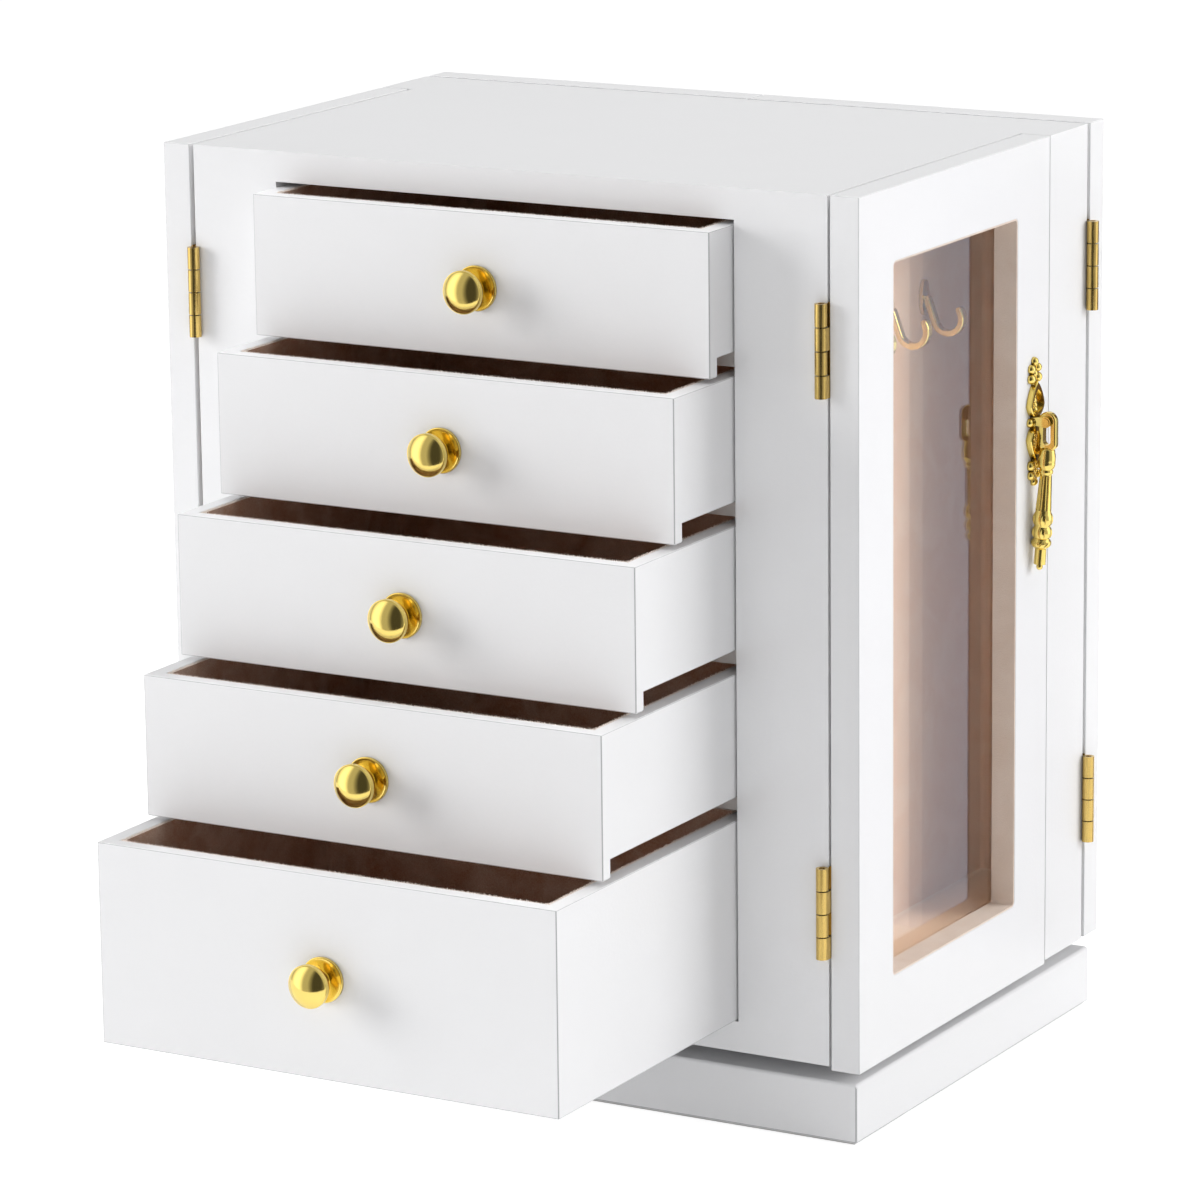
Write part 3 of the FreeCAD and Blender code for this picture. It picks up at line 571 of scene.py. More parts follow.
@dataclass(frozen=True)
class ClearGlass(Finish):
    """Flat clear glass that lets the lamps' light through to what lies behind it."""

    let_through: float = 0.97
    bending: float = 1.5
    smears: float = 30.0
    smear_roughness: float = 0.004

    def feeds(self, tree: Tree) -> dict:
        """Gives the glass faint smears in its gloss, and lets its shadow rays pass.

        Args:
            tree: The material's tree.

        Returns:
            The shader's feeds.
        """
        mottle = MOTTLE.place(tree, self.smears)["Mask"]
        clear = put(tree, "BsdfTransparent", {"Color": (self.let_through,) * 3})
        shadow = put(tree, "LightPath", {}).outputs["Is Shadow Ray"]
        mixed = put(tree, "MixShader", {0: shadow, 1: tree.nodes["Principled BSDF"].outputs[0],
                                        2: clear.outputs[0]})
        feed(tree, tree.nodes["Material Output"], {"Surface": mixed.outputs[0]})
        return {"Base Color": self.tone, "Transmission Weight": 1.0, "IOR": self.bending,
                "Roughness": ranged(tree, mottle, 0.0, 1.0, 0.0, self.smear_roughness)}


# Each lacquer's second colour is painted shade for its upright eased edges. Each metal's second colour is
# painted shade for its hollows. The compartment flock's pale colour is also painted light on its upward
# faces.
WHITE_PAINT = Lacquer("White satin lacquer", Slot.PAINT, linear(236, 236, 237), linear(150, 150, 152))
INSIDE_PAINT = Lacquer("White lacquer inside", None, linear(222, 220, 217), linear(160, 158, 155), gloss=0.5)
GOLD = Plated("Polished gold plate", Slot.GOLD, linear(243, 216, 122), linear(96, 62, 12))
HINGE_BRASS = Brushed("Brushed brass", Slot.HINGE, linear(222, 190, 112), linear(70, 50, 18), gloss=0.22)
DRAWER_FLOCK = Flock("Brown drawer flock", Slot.DRAWER_FLOCK, linear(182, 128, 92), linear(248, 236, 226))
WALL_FLOCK = Flock("Tan compartment flock", Slot.WALL_FLOCK, linear(224, 172, 132), linear(238, 210, 184))
JAMB_FLOCK = Flock("Taupe jamb flock", None, linear(222, 204, 190), linear(240, 228, 218))
BASE_FELT = Flock("Pale felt", None, linear(200, 199, 198), linear(222, 221, 220), sheen=0.2)
WINDOW_GLASS = ClearGlass("Window glass", None, (0.96, 0.98, 0.98))
BEARING_STEEL = Brushed("Zinc-plated steel", None, linear(196, 198, 202), linear(90, 90, 92))
MAGNET_NICKEL = Plated("Nickel-plated magnet", None, linear(200, 200, 205), linear(80, 80, 84))


# Modelling

def bevelled(bm: bmesh.types.BMesh, edges: Sequence, width: float, segments: int) -> list:
    """Rounds edges of a mesh.

    Args:
        bm: The mesh.
        edges: The edges.
        width: How far the rounding reaches.
        segments: How many faces it has across.

    Returns:
        The new faces.
    """
    return bmesh.ops.bevel(bm, geom=edges, offset=width, offset_type="OFFSET", segments=segments,
                           profile=0.5, affect="EDGES", material=-1, clamp_overlap=True)["faces"]


def in_scene(name: str, data: bpy.types.ID) -> bpy.types.Object:
    """Makes an object of a mesh, a lamp or a camera and puts it into the scene.

    Args:
        name: The object's name.
        data: What it holds.

    Returns:
        The object.
    """
    made = bpy.data.objects.new(name, data)
    bpy.context.scene.collection.objects.link(made)
    return made


def islands(bm: bmesh.types.BMesh) -> list:
    """Finds the separate solids of a mesh.

    Args:
        bm: The mesh.

    Returns:
        One list of vertices for each solid.
    """
    left = set(bm.verts)
    found = []
    while left:
        reached = [left.pop()]
        front = list(reached)
        while front:
            vertex = front.pop()
            for edge in vertex.link_edges:
                other = edge.other_vert(vertex)
                if other in left:
                    left.remove(other)
                    reached.append(other)
                    front.append(other)
        found.append(reached)
    return found


def solid_boxes(node: str) -> list:
    """Gives the box of each solid of a CAD node.

    Args:
        node: The node's name.

    Returns:
        Pairs of lowest and highest corners, sorted by those corners.
    """
    bm = bmesh.new()
    bm.from_mesh(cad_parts[node].data)
    bmesh.ops.remove_doubles(bm, verts=bm.verts[:], dist=WELD)
    boxes = []
    for verts in islands(bm):
        low = Vector([min(vertex.co[axis] for vertex in verts) for axis in range(3)])
        high = Vector([max(vertex.co[axis] for vertex in verts) for axis in range(3)])
        boxes.append((low, high))
    bm.free()
    return sorted(boxes, key=lambda pair: tuple(pair[0]) + tuple(pair[1]))


class Shape:
    """A mesh in the making, with the workshop's usual moves.

    Attributes:
        bm: The bmesh that the moves work on.
    """

    def __init__(self) -> None:
        """Starts with nothing."""
        self.bm = bmesh.new()

    @classmethod
    def block(cls, low: Sequence[float], high: Sequence[float]) -> "Shape":
        """Makes a block between two corners.

        Args:
            low: One corner.
            high: The opposite corner.

        Returns:
            The block.
        """
        made = cls()
        size = [abs(b - a) for a, b in zip(low, high)]
        middle = [(a + b) / 2 for a, b in zip(low, high)]
        placed = Matrix.Translation(middle) @ Matrix.Diagonal((*size, 1.0))
        bmesh.ops.create_cube(made.bm, size=1.0, matrix=placed)
        return made

    @classmethod
    def of_node(cls, node: str) -> "Shape":
        """Copies a CAD node, with its loose triangles joined.

        Args:
            node: The node's name.

        Returns:
            The copy.
        """
        made = cls()
        made.bm.from_mesh(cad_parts[node].data)
        bmesh.ops.remove_doubles(made.bm, verts=made.bm.verts[:], dist=WELD)
        return made

    @classmethod
    def turned(cls, profile: Sequence[tuple], steps: int) -> "Shape":
        """Turns a profile round the Z axis.

        Args:
            profile: Points as (radius, height), from one pole to the other.
            steps: How many steps make a full turn.

        Returns:
            The closed turned shape.
        """
        made = cls()
        verts = [made.bm.verts.new((radius, 0.0, height)) for radius, height in profile]
        edges = [made.bm.edges.new(pair) for pair in zip(verts, verts[1:])]
        bmesh.ops.spin(made.bm, geom=verts + edges, cent=(0, 0, 0), axis=(0, 0, 1), angle=2 * math.pi,
                       steps=steps, use_merge=True, use_duplicate=False)
        bmesh.ops.remove_doubles(made.bm, verts=made.bm.verts[:], dist=WELD / 10)
        bmesh.ops.recalc_face_normals(made.bm, faces=made.bm.faces[:])
        return made

    def move(self, matrix: Matrix) -> "Shape":
        """Moves or turns the whole shape."""
        bmesh.ops.transform(self.bm, matrix=matrix, verts=self.bm.verts[:])
        return self

    def add(self, other: "Shape") -> "Shape":
        """Takes in another shape, which is used up.

        Args:
            other: The shape to take in.

        Returns:
            This shape.
        """
        held = bpy.data.meshes.new("held")
        other.bm.to_mesh(held)
        self.bm.from_mesh(held)
        other.bm.free()
        bpy.data.meshes.remove(held)
        return self

    def combined(self, others: Iterable["Shape"], way: Join) -> "Shape":
        """Unites this shape with others, or cuts them out of it. The others are used up.

        Args:
            others: The shapes to unite or to cut away.
            way: Whether to unite or to cut.

        Returns:
            This shape, with flat faces made whole again.
        """
        body = self.loose_object("work")
        tools = [other.loose_object("tool") for other in others]
        for tool in tools:
            change = body.modifiers.new("join", "BOOLEAN")
            change.operation = way.value
            change.solver = "EXACT"
            change.object = tool
        evaluated = body.evaluated_get(bpy.context.evaluated_depsgraph_get())
        result = bpy.data.meshes.new_from_object(evaluated)
        self.bm.free()
        self.bm = bmesh.new()
        self.bm.from_mesh(result)
        for thing in [body, *tools]:
            mesh = thing.data
            bpy.data.objects.remove(thing)
            bpy.data.meshes.remove(mesh)
        bpy.data.meshes.remove(result)
        for other in others:
            other.bm.free()
        bmesh.ops.remove_doubles(self.bm, verts=self.bm.verts[:], dist=WELD)
        self.make_flats_whole()
        return self

    def make_flats_whole(self) -> None:
        """Joins neighbouring faces that lie in one plane, but never right round a hole."""
        for edge in self.bm.edges[:]:
            if not edge.is_valid or len(edge.link_faces) != 2 or edge.calc_face_angle() > FLAT:
                continue
            first, second = edge.link_faces
            shared = [side for side in first.edges if second in side.link_faces]
            ends = {vertex for side in shared for vertex in side.verts}
            if len(ends) == len(shared) + 1:
                bmesh.ops.dissolve_edges(self.bm, edges=shared, use_verts=True)
        straight = [vertex for vertex in self.bm.verts if len(vertex.link_edges) == 2
                    and vertex.calc_edge_angle() < FLAT]
        bmesh.ops.dissolve_verts(self.bm, verts=straight)

    def loose_object(self, name: str) -> bpy.types.Object:
        """Puts a copy of the shape into the scene for a moment.

        Args:
            name: A name for it.

        Returns:
            The object, which the caller removes.
        """
        mesh = bpy.data.meshes.new(name)
        self.bm.to_mesh(mesh)
        return in_scene(name, mesh)

    def ease(self, width: float, segments: int = 3, painted_edge_shade: float = 1.0,
             chosen: Optional[Callable] = None) -> "Shape":
        """Rounds the outer edges and marks the upright rounded bands for the paint's painted shade.

        Args:
            width: How far the rounding reaches, in metres.
            segments: How many faces it has across.
            painted_edge_shade: How strongly painted shade greys the paint there, from 0 to 1.
            chosen: Tells whether an edge is rounded, if not all the outer ones are.

        Returns:
            This shape.
        """
        sharp = [edge for edge in self.bm.edges
                 if len(edge.link_faces) == 2 and edge.is_convex
                 and edge.calc_face_angle() > math.radians(30) and (chosen is None or chosen(edge))]
        mark = self.marks()
        for face in bevelled(self.bm, sharp, width, segments):
            # Painted shade goes on the upright rounded bands only.
            face[mark] = painted_edge_shade if abs(face.normal.z) < UPRIGHT else 0.0
        return self

    def marks(self) -> bmesh.types.BMLayerItem:
        """Gives the layer that marks painted edge shade on paint, fray on flock, and painted light on flock
        that faces up.
        """
        layers = self.bm.faces.layers.float
        return layers.get(EASED) or layers.new(EASED)

    def mark(self, chosen: Callable) -> None:
        """Marks faces where flock is made paler: its real fray at cut edges, and painted light on faces that
        face up.

        Args:
            chosen: Tells whether a face is marked.
        """
        mark = self.marks()
        for face in self.bm.faces:
            face[mark] = 1.0 if chosen(face) else 0.0

    def piece(self, name: str, body: str, finish: Finish, replaces: Sequence[str],
              sharp: float = 40.0) -> None:
        """Makes the finished piece, with its place in its mesh.

        Args:
            name: The piece's name.
            body: The CAD body it rides on.
            finish: The finish it wears.
            replaces: The CAD nodes that it stands for.
            sharp: The angle in degrees above which an edge stays crisp.
        """
        for face in self.bm.faces:
            face.smooth = True
        for edge in self.bm.edges:
            if len(edge.link_faces) == 2 and edge.calc_face_angle() > math.radians(sharp):
                edge.smooth = False
        mesh = bpy.data.meshes.new(name)
        self.bm.to_mesh(mesh)
        self.bm.free()
        made = in_scene(name, mesh)
        flat = made.modifiers.new("Flat faces", "WEIGHTED_NORMAL")
        flat.keep_sharp = True
        mesh.materials.append(finish.material())
        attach(made, body)
        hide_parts(*replaces)
        log.info("%s: %d faces on %s", name, len(mesh.polygons), body)


def arc(start: tuple, middle: tuple, end: tuple, parts: int) -> list:
    """Gives points along the arc through three points of a profile.

    Args:
        start: The first point, which is left out of the result.
        middle: A point on the way.
        end: The last point.
        parts: How many points to give.

    Returns:
        The points after start, up to and with end.
    """
    ax, ay = middle[0] - start[0], middle[1] - start[1]
    bx, by = end[0] - start[0], end[1] - start[1]
    area = 2 * (ax * by - ay * bx)
    cx = (by * (ax * ax + ay * ay) - ay * (bx * bx + by * by)) / area
    cy = (ax * (bx * bx + by * by) - bx * (ax * ax + ay * ay)) / area
    centre = (start[0] + cx, start[1] + cy)
    radius = math.hypot(cx, cy)
    angles = [math.atan2(p[1] - centre[1], p[0] - centre[0]) for p in (start, middle, end)]
    way = 1 if area > 0 else -1
    sweep = (way * (angles[2] - angles[0])) % (2 * math.pi)
    return [(centre[0] + radius * math.cos(angles[0] + way * sweep * step / parts),
             centre[1] + radius * math.sin(angles[0] + way * sweep * step / parts))
            for step in range(1, parts + 1)]


def rounded_prism(low: Sequence[float], high: Sequence[float], radius: float, axis: int) -> Shape:
    """Makes a block whose edges along one axis are rounded.

    Args:
        low: Its lowest corner.
        high: Its highest corner.
        radius: The rounding's radius.
        axis: The axis that the rounded edges run along.

    Returns:
        The prism.
    """
    made = Shape.block(low, high)
    along = [edge for edge in made.bm.edges
             if abs((edge.verts[1].co - edge.verts[0].co).normalized()[axis]) > 0.99]
    bevelled(made.bm, along, radius, 6)
    return made


def grown(low: Vector, high: Vector, **by: float) -> Shape:
    """Makes a block from a box, with some sides moved outwards.

    Args:
        low: The box's lowest corner.
        high: The box's highest corner.
        **by: How far each named side moves out: x0, x1, y0, y1, z0 or z1.

    Returns:
        The block.
    """
    low, high = low.copy(), high.copy()
    for side, distance in by.items():
        axis = "xyz".index(side[0])
        if side[1] == "0":
            low[axis] -= distance
        else:
            high[axis] += distance
    return Shape.block(low, high)


def lining_tray(low: Vector, high: Vector, wall: float, fold: float, way: Open) -> Shape:
    """Makes a folded lining with soft inner corners, open at the top.

    Args:
        low: Its lowest corner.
        high: Its highest corner.
        wall: How thick it is.
        fold: The radius of its inner folds.
        way: The side that has no wall.

    Returns:
        The lining.
    """
    far = 8 * MM
    inner_low = low + Vector((wall, wall, wall))
    inner_high = high - Vector((wall, wall, -far))
    if way.value[0] > 0:
        inner_high.x += far
    if way.value[0] < 0:
        inner_low.x -= far
    if way.value[1] > 0:
        inner_high.y += far
    space = Shape.block(inner_low, inner_high)
    bevelled(space.bm, space.bm.edges[:], fold, 4)
    return Shape.block(low, high).combined([space], Join.CUT)


@dataclass(frozen=True)
class Fringe:
    """The frayed fibres that stand along a lining's cut edge.

    Attributes:
        spacing: The mean distance between fibres.
        length: The longest fibre.
        shortest: The shortest one's share of that.
        spread: How far a fibre stands off the edge's middle, in millimetres to either side.
        lean: How far one leans across the edge, in radians.
        sway: How far one leans along the edge, in radians.
        half_width: How far its root reaches from its middle.
        rooted: The share of it that is sunk in the lining.
    """

    spacing: float = 0.2 * MM
    length: float = 1.2 * MM
    shortest: float = 0.45
    spread: float = 0.5
    lean: float = 0.7
    sway: float = 0.6
    half_width: float = 0.2 * MM
    rooted: float = 0.2

    def grow(self, shape: Shape, corners: Sequence[Vector], lot: int) -> None:
        """Adds the fibres to a lining.

        Args:
            shape: The lining to add to.
            corners: The corners of the edge in order. The last leads back to the first.
            lot: The seed of the random draws.
        """
        draw = random.Random(lot)
        mark = shape.marks()
        half, third = self.half_width / 2, 0.85 * self.half_width
        for start, end in zip(corners, [*corners[1:], corners[0]]):
            run = end - start
            across = run.normalized().cross(Vector((0, 0, 1)))
            count = int(run.length / self.spacing)
            for index in range(count):
                foot = start + run * ((index + draw.random()) / count)
                foot += across * draw.uniform(-self.spread, self.spread) * MM
                tall = self.length * draw.uniform(self.shortest, 1.0)
                lean = Matrix.Rotation(draw.uniform(-self.lean, self.lean), 4, run.normalized())
                sway = Matrix.Rotation(draw.uniform(-self.sway, self.sway), 4, across)
                placed = Matrix.Translation(foot) @ lean @ sway
                low = -self.rooted * tall
                points = [(self.half_width, 0.0, low), (-half, third, low), (-half, -third, low),
                          (0.0, 0.0, low + tall)]
                verts = [shape.bm.verts.new(placed @ Vector(point)) for point in points]
                for side in ((2, 1, 0), (0, 1, 3), (1, 2, 3), (2, 0, 3)):
                    face = shape.bm.faces.new([verts[corner] for corner in side])
                    face[mark] = 1.0


def smoothed(node: str, name: str, body: str, finish: Finish, crease: float = METAL_CREASE) -> None:
    """Makes a piece that keeps a CAD node's own form, with smooth surfaces.

    Args:
        node: The node's name.
        name: The piece's name.
        body: The CAD body it rides on.
        finish: The finish it wears.
        crease: The angle in degrees above which an edge stays crisp.
    """
    Shape.of_node(node).piece(name, body, finish, [node], crease)


def dress(node: str, finish: Finish) -> None:
    """Gives a CAD node that stays as it is a better material.

    Args:
        node: The node's name.
        finish: The finish it wears.
    """
    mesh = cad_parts[node].data
    mesh.materials.clear()
    mesh.materials.append(finish.material())
    log.info("%s keeps its shape", node)


@dataclass
class Carcass:
    """The fixed case: one painted shell, the boards and linings inside it, and its hardware.

    Attributes:
        edge: The rounding of its painted edges.
        bite: How far a board reaches into its neighbour before they are united.
        lining_wall: The compartment linings' thickness.
        lining_fold: The radius of their folds.
        middle_zone: How near the middle plane the back compartment's middle is.
    """

    edge: float = 0.3 * MM
    bite: float = 1.0 * MM
    middle_zone: float = 20.0 * MM
    lining_wall: float = 1.0 * MM
    lining_fold: float = 1.6 * MM
    body: str = "cabinet"

    def shell(self) -> None:
        """Builds the top, the bottom, the stiles and the posts as one painted shell."""
        stiles = solid_boxes("front_stiles")
        rear_low, rear_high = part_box("rear_frame")
        stile_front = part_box("compartment_floors")[1].y
        boards = []
        for node in ("top_panel", "bottom_panel"):
            low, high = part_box(node)
            boards.append(Shape.block((stiles[0][0].x, low.y, low.z), (stiles[1][1].x, high.y, high.z)))
            boards.append(Shape.block((low.x, rear_low.y, low.z), high))
        levels = {"z0": self.bite, "z1": self.bite}
        for low, high in stiles:
            is_right = low.x > 0
            inner, post_inner = (low.x, high.x) if is_right else (high.x, low.x)
            outer = rear_high.x if is_right else rear_low.x
            boards.append(grown(low, high, **levels))
            for start, front, back in ((inner, stile_front, rear_high.y),
                                       (post_inner, rear_low.y, stile_front + self.bite)):
                ends = sorted((start, outer))
                boards.append(grown(Vector((ends[0], front, rear_low.z)),
                                    Vector((ends[1], back, rear_high.z)), **levels))
        shell = boards[0].combined(boards[1:], Join.UNITE)
        shell.ease(self.edge, painted_edge_shade=0.3)
        shell.piece("carcass_shell", self.body, WHITE_PAINT,
                    ["top_panel", "bottom_panel", "front_stiles", "rear_frame"])

    def linings(self) -> None:
        """Builds the three compartments' folded linings."""
        whole = Shape()
        for low, high in solid_boxes("compartment_linings"):
            middle = (low + high) / 2
            if abs(middle.x) < self.middle_zone:
                way = Open.PLUS_Y
            else:
                way = Open.PLUS_X if middle.x > 0 else Open.MINUS_X
            sheet = lining_tray(low, high, self.lining_wall, self.lining_fold, way)
            # Painted light: the linings' upward faces, the compartment floors, are made paler as if lit from
            # above.
            sheet.mark(lambda face: face.normal.z > UPRIGHT)
            whole.add(sheet)
        whole.piece("compartment_lining_sheets", self.body, WALL_FLOCK, ["compartment_linings"])

    def hardware(self) -> None:
        """Builds the necklace hooks, the carcass's hinge halves and the hinge pins."""
        smoothed("necklace_hooks", "gold_necklace_hooks", self.body, GOLD)
        smoothed("carcass_hinge_halves", "brass_carcass_hinges", self.body, HINGE_BRASS)
        smoothed("hinge_pins", "brass_hinge_pins", self.body, HINGE_BRASS)

    def build(self) -> None:
        """Builds everything that is fixed to the cabinet."""
        self.shell()
        self.linings()
        self.hardware()
        for node in ("bay_panels", "drawer_shelves", "compartment_floors"):
            dress(node, INSIDE_PAINT)
        dress("door_magnets", MAGNET_NICKEL)


@dataclass
class Knob:
    """A turned and plated knob: dished flange, waisted stem, banded head and dome.

    Attributes:
        flange: The flange's radius.
        flange_thick: The flange's thickness.
        rim_round: The rounding of its rim against the wood.
        lip: The width of the raised lip round it.
        foot: How far the dish stays off the stem.
        stem: The stem's radius.
        head: The head's radius.
        dome: The dome's radius where it starts.
        dome_rise: How far the dome bulges.
        head_back: How far the back of the head's band stands off the drawer.
        band: The band's width.
        screw: The radius and length of the screw's shank inside the drawer.
        screw_head: The radius and height of its head.
        screw_off: The gap between shank and knob.
        screw_round: The rounding of its head.
        screw_steps: How many steps make its full turn.
        steps: How many steps make the knob's full turn.
    """

    flange: float = 8.35
    flange_thick: float = 1.5
    rim_round: float = 0.25
    lip: float = 0.55
    foot: float = 0.9
    stem: float = 2.6
    head: float = 8.0
    dome: float = 7.65
    dome_rise: float = 3.4
    head_back: float = 9.4
    band: float = 1.5
    screw: tuple = (1.7, 3.9)
    screw_head: tuple = (3.2, 1.6)
    screw_off: float = 0.02
    screw_round: float = 0.2
    screw_steps: int = 24
    steps: int = 72

    def profile(self) -> list:
        """Draws half of the knob's outline.

        Returns:
            Points as (radius, height) in millimetres, from the wood to the top of the dome.
        """
        rim = self.flange
        band_end = self.head_back + self.band
        neck = (self.stem, self.flange_thick)
        line = [(0.0, 0.0), (rim - self.rim_round, 0.0), (rim, self.rim_round),
                (rim, 0.6 * self.flange_thick)]
        lip = (rim - self.lip, self.flange_thick - 0.1)
        line += arc(line[-1], (rim - 0.2, self.flange_thick), lip, 6)
        foot = (self.stem + self.foot, 0.66 * self.flange_thick)
        line += arc(lip, (0.5 * (rim + self.stem), 0.56 * self.flange_thick), foot, 10)
        line += [(self.stem + 0.3, 0.8 * self.flange_thick), neck]
        waist = (self.stem, 0.45 * self.head_back)
        line.append(waist)
        shoulder = (self.head - 0.4, self.head_back - 0.3)
        line += arc(waist, (0.55 * (self.stem + self.head), 0.62 * self.head_back), shoulder, 12)
        line += arc(shoulder, (self.head - 0.1, self.head_back - 0.12),
                    (self.head, self.head_back + 0.15), 3)
        line += [(self.head, band_end - 0.2), (self.head - 0.08, band_end)]
        base = (self.dome, band_end + 0.2)
        rise = self.dome_rise - 0.2
        ball = (base[0] ** 2 + rise ** 2) / (2 * rise)
        centre = band_end + self.dome_rise - ball
        turn = 0.5 * math.atan2(base[0], base[1] - centre)
        line += [(self.dome + 0.05, band_end + 0.05), base]
        line += arc(base, (ball * math.sin(turn), centre + ball * math.cos(turn)),
                    (0.0, band_end + self.dome_rise), 22)
        return line

    def screw_profile(self) -> list:
        """Draws half of the hidden screw's outline, below the knob.

        Returns:
            Points as (radius, height) in millimetres.
        """
        radius, length = self.screw
        head, tall = self.screw_head
        off, round_off = self.screw_off, self.screw_round
        return [(0.0, -off), (radius, -off), (radius, -length), (head - round_off, -length),
                (head, -length - round_off), (head, -length - tall), (0.0, -length - tall)]

    def build(self, drawer: str) -> None:
        """Builds the knob of a drawer where its CAD node is.

        Args:
            drawer: The drawer's body.
        """
        node = drawer + "_knob"
        low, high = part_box(node)
        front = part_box(drawer + "_front")[0]
        middle = (low + high) / 2
        place = Matrix.Translation((middle.x, front.y, middle.z)) @ Matrix.Rotation(math.pi / 2, 4, "X")
        knob = Shape.turned([(MM * r, MM * z) for r, z in self.profile()], self.steps)
        knob.add(Shape.turned([(MM * r, MM * z) for r, z in self.screw_profile()], self.screw_steps))
        knob.move(place)
        knob.piece(drawer + "_gold_knob", drawer, GOLD, [node], METAL_CREASE)


@dataclass
class Drawer:
    """A drawer: its painted front and box as one piece, a flock tray and a knob.

    Attributes:
        number: Its place from the top, from 1.
        edge: The rounding of its painted edges.
        bite: How far the box reaches into the front.
        lining_wall: The lining's thickness.
        lining_fold: The radius of its folds.
        over: How far the cutter of its hollow stands above it.
        fray: The lining's frayed edge.
        first_lot: The seed before the first drawer's random draws.
    """

    number: int
    edge: float = 0.35 * MM
    bite: float = 0.8 * MM
    lining_wall: float = 1.2 * MM
    lining_fold: float = 2.2 * MM
    over: float = 5.0 * MM
    fray: Fringe = Fringe()
    first_lot: int = 40
    knob: Knob = field(default_factory=Knob)

    @property
    def body(self) -> str:
        """The drawer's CAD body."""
        return f"drawer_{self.number}"

    def woodwork(self) -> None:
        """Builds the front, sides, back and bottom as one painted piece."""
        front = Shape.block(*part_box(self.body + "_front"))
        box = grown(*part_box(self.body + "_box"), y0=self.bite)
        hollow = grown(*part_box(self.body + "_lining"), z1=self.over)
        whole = front.combined([box], Join.UNITE).combined([hollow], Join.CUT)
        whole.ease(self.edge)
        whole.piece(self.body + "_woodwork", self.body, WHITE_PAINT,
                    [self.body + "_front", self.body + "_box"])

    def lining(self) -> None:
        """Builds the flock tray with its frayed edge."""
        low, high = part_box(self.body + "_lining")
        tray = lining_tray(low, high, self.lining_wall, self.lining_fold, Open.NONE)
        inset = self.lining_wall / 2
        corners = [Vector((low.x + inset, low.y + inset, high.z)),
                   Vector((high.x - inset, low.y + inset, high.z)),
                   Vector((high.x - inset, high.y - inset, high.z)),
                   Vector((low.x + inset, high.y - inset, high.z))]
        tray.mark(lambda face: min(vertex.co.z for vertex in face.verts) > high.z - WELD)
        self.fray.grow(tray, corners, self.first_lot + self.number)
        tray.piece(self.body + "_flock_tray", self.body, DRAWER_FLOCK, [self.body + "_lining"])

    def build(self) -> None:
        """Builds the whole drawer."""
        self.woodwork()
        self.lining()
        self.knob.build(self.body)


@dataclass
class DropPull:
    """An ornamental drop pull: a cast plate, and the drop that hangs on its pin.

    Attributes:
        door: The body of the door it is fixed to.
        drop: The body of its drop.
        crease: The angle in degrees above which its edges stay crisp.
    """

    door: str
    drop: str
    crease: float = 38.0

    def build(self) -> None:
        """Builds the plate and the drop with smooth cast surfaces."""
        for part, body in (("plate", self.door), ("drop", self.drop)):
            smoothed(f"{self.door}_pull_{part}", f"{self.door}_gold_{part}", body, GOLD, self.crease)


@dataclass
class SideDoor:
    """A side door: a painted frame with a rounded window, its glass, jamb lining and hinges.

    Attributes:
        name: Which side it is on.
        edge: The rounding of its painted edges.
        corner: The radius of the window's corners.
        rebate: How far the glass's rebate reaches past the window.
        past: How far the cutters stand out of the frame.
    """

    name: str
    edge: float = 0.3 * MM
    corner: float = 2.0 * MM
    rebate: float = 4.0 * MM
    past: float = 5.0 * MM

    @property
    def body(self) -> str:
        """The door's CAD body."""
        return f"{self.name}_door"

    def woodwork(self) -> None:
        """Builds the painted frame with its window and the rebate behind it."""
        low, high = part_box(self.body + "_frame")
        sleeve_low, sleeve_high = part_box(self.body + "_jamb_lining")
        is_right = low.x > 0
        seat = sleeve_low.x if is_right else sleeve_high.x
        window = rounded_prism((low.x - self.past, sleeve_low.y, sleeve_low.z),
                               (high.x + self.past, sleeve_high.y, sleeve_high.z), self.corner, 0)
        inner = low.x - self.past if is_right else high.x + self.past
        ends = sorted((inner, seat))
        rebate = Shape.block((ends[0], sleeve_low.y - self.rebate, sleeve_low.z - self.rebate),
                             (ends[1], sleeve_high.y + self.rebate, sleeve_high.z + self.rebate))
        whole = Shape.block(low, high).combined([window, rebate], Join.CUT)
        whole.ease(self.edge, painted_edge_shade=0.4)
        whole.piece(self.body + "_woodwork", self.body, WHITE_PAINT, [self.body + "_frame"])

    def build(self) -> None:
        """Builds the whole door."""
        self.woodwork()
        dress(self.body + "_glass", WINDOW_GLASS)
        dress(self.body + "_jamb_lining", JAMB_FLOCK)
        smoothed(self.body + "_hardware", self.body + "_brass_hinges", self.body, HINGE_BRASS)
        DropPull(self.body, f"{self.name}_pull_drop").build()


@dataclass
class BackDoor:
    """A plain painted back door with its hinges and pull.

    Attributes:
        name: Which side it is on.
        edge: The rounding of its painted edges.
    """

    name: str
    edge: float = 0.3 * MM

    @property
    def body(self) -> str:
        """The door's CAD body."""
        return f"back_{self.name}_door"

    def build(self) -> None:
        """Builds the whole door."""
        board = Shape.block(*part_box(self.body + "_panel")).ease(self.edge, painted_edge_shade=0.4)
        board.piece(self.body + "_board", self.body, WHITE_PAINT, [self.body + "_panel"])
        smoothed(self.body + "_hardware", self.body + "_brass_hinges", self.body, HINGE_BRASS)
        DropPull(self.body, f"back_{self.name}_pull_drop").build()


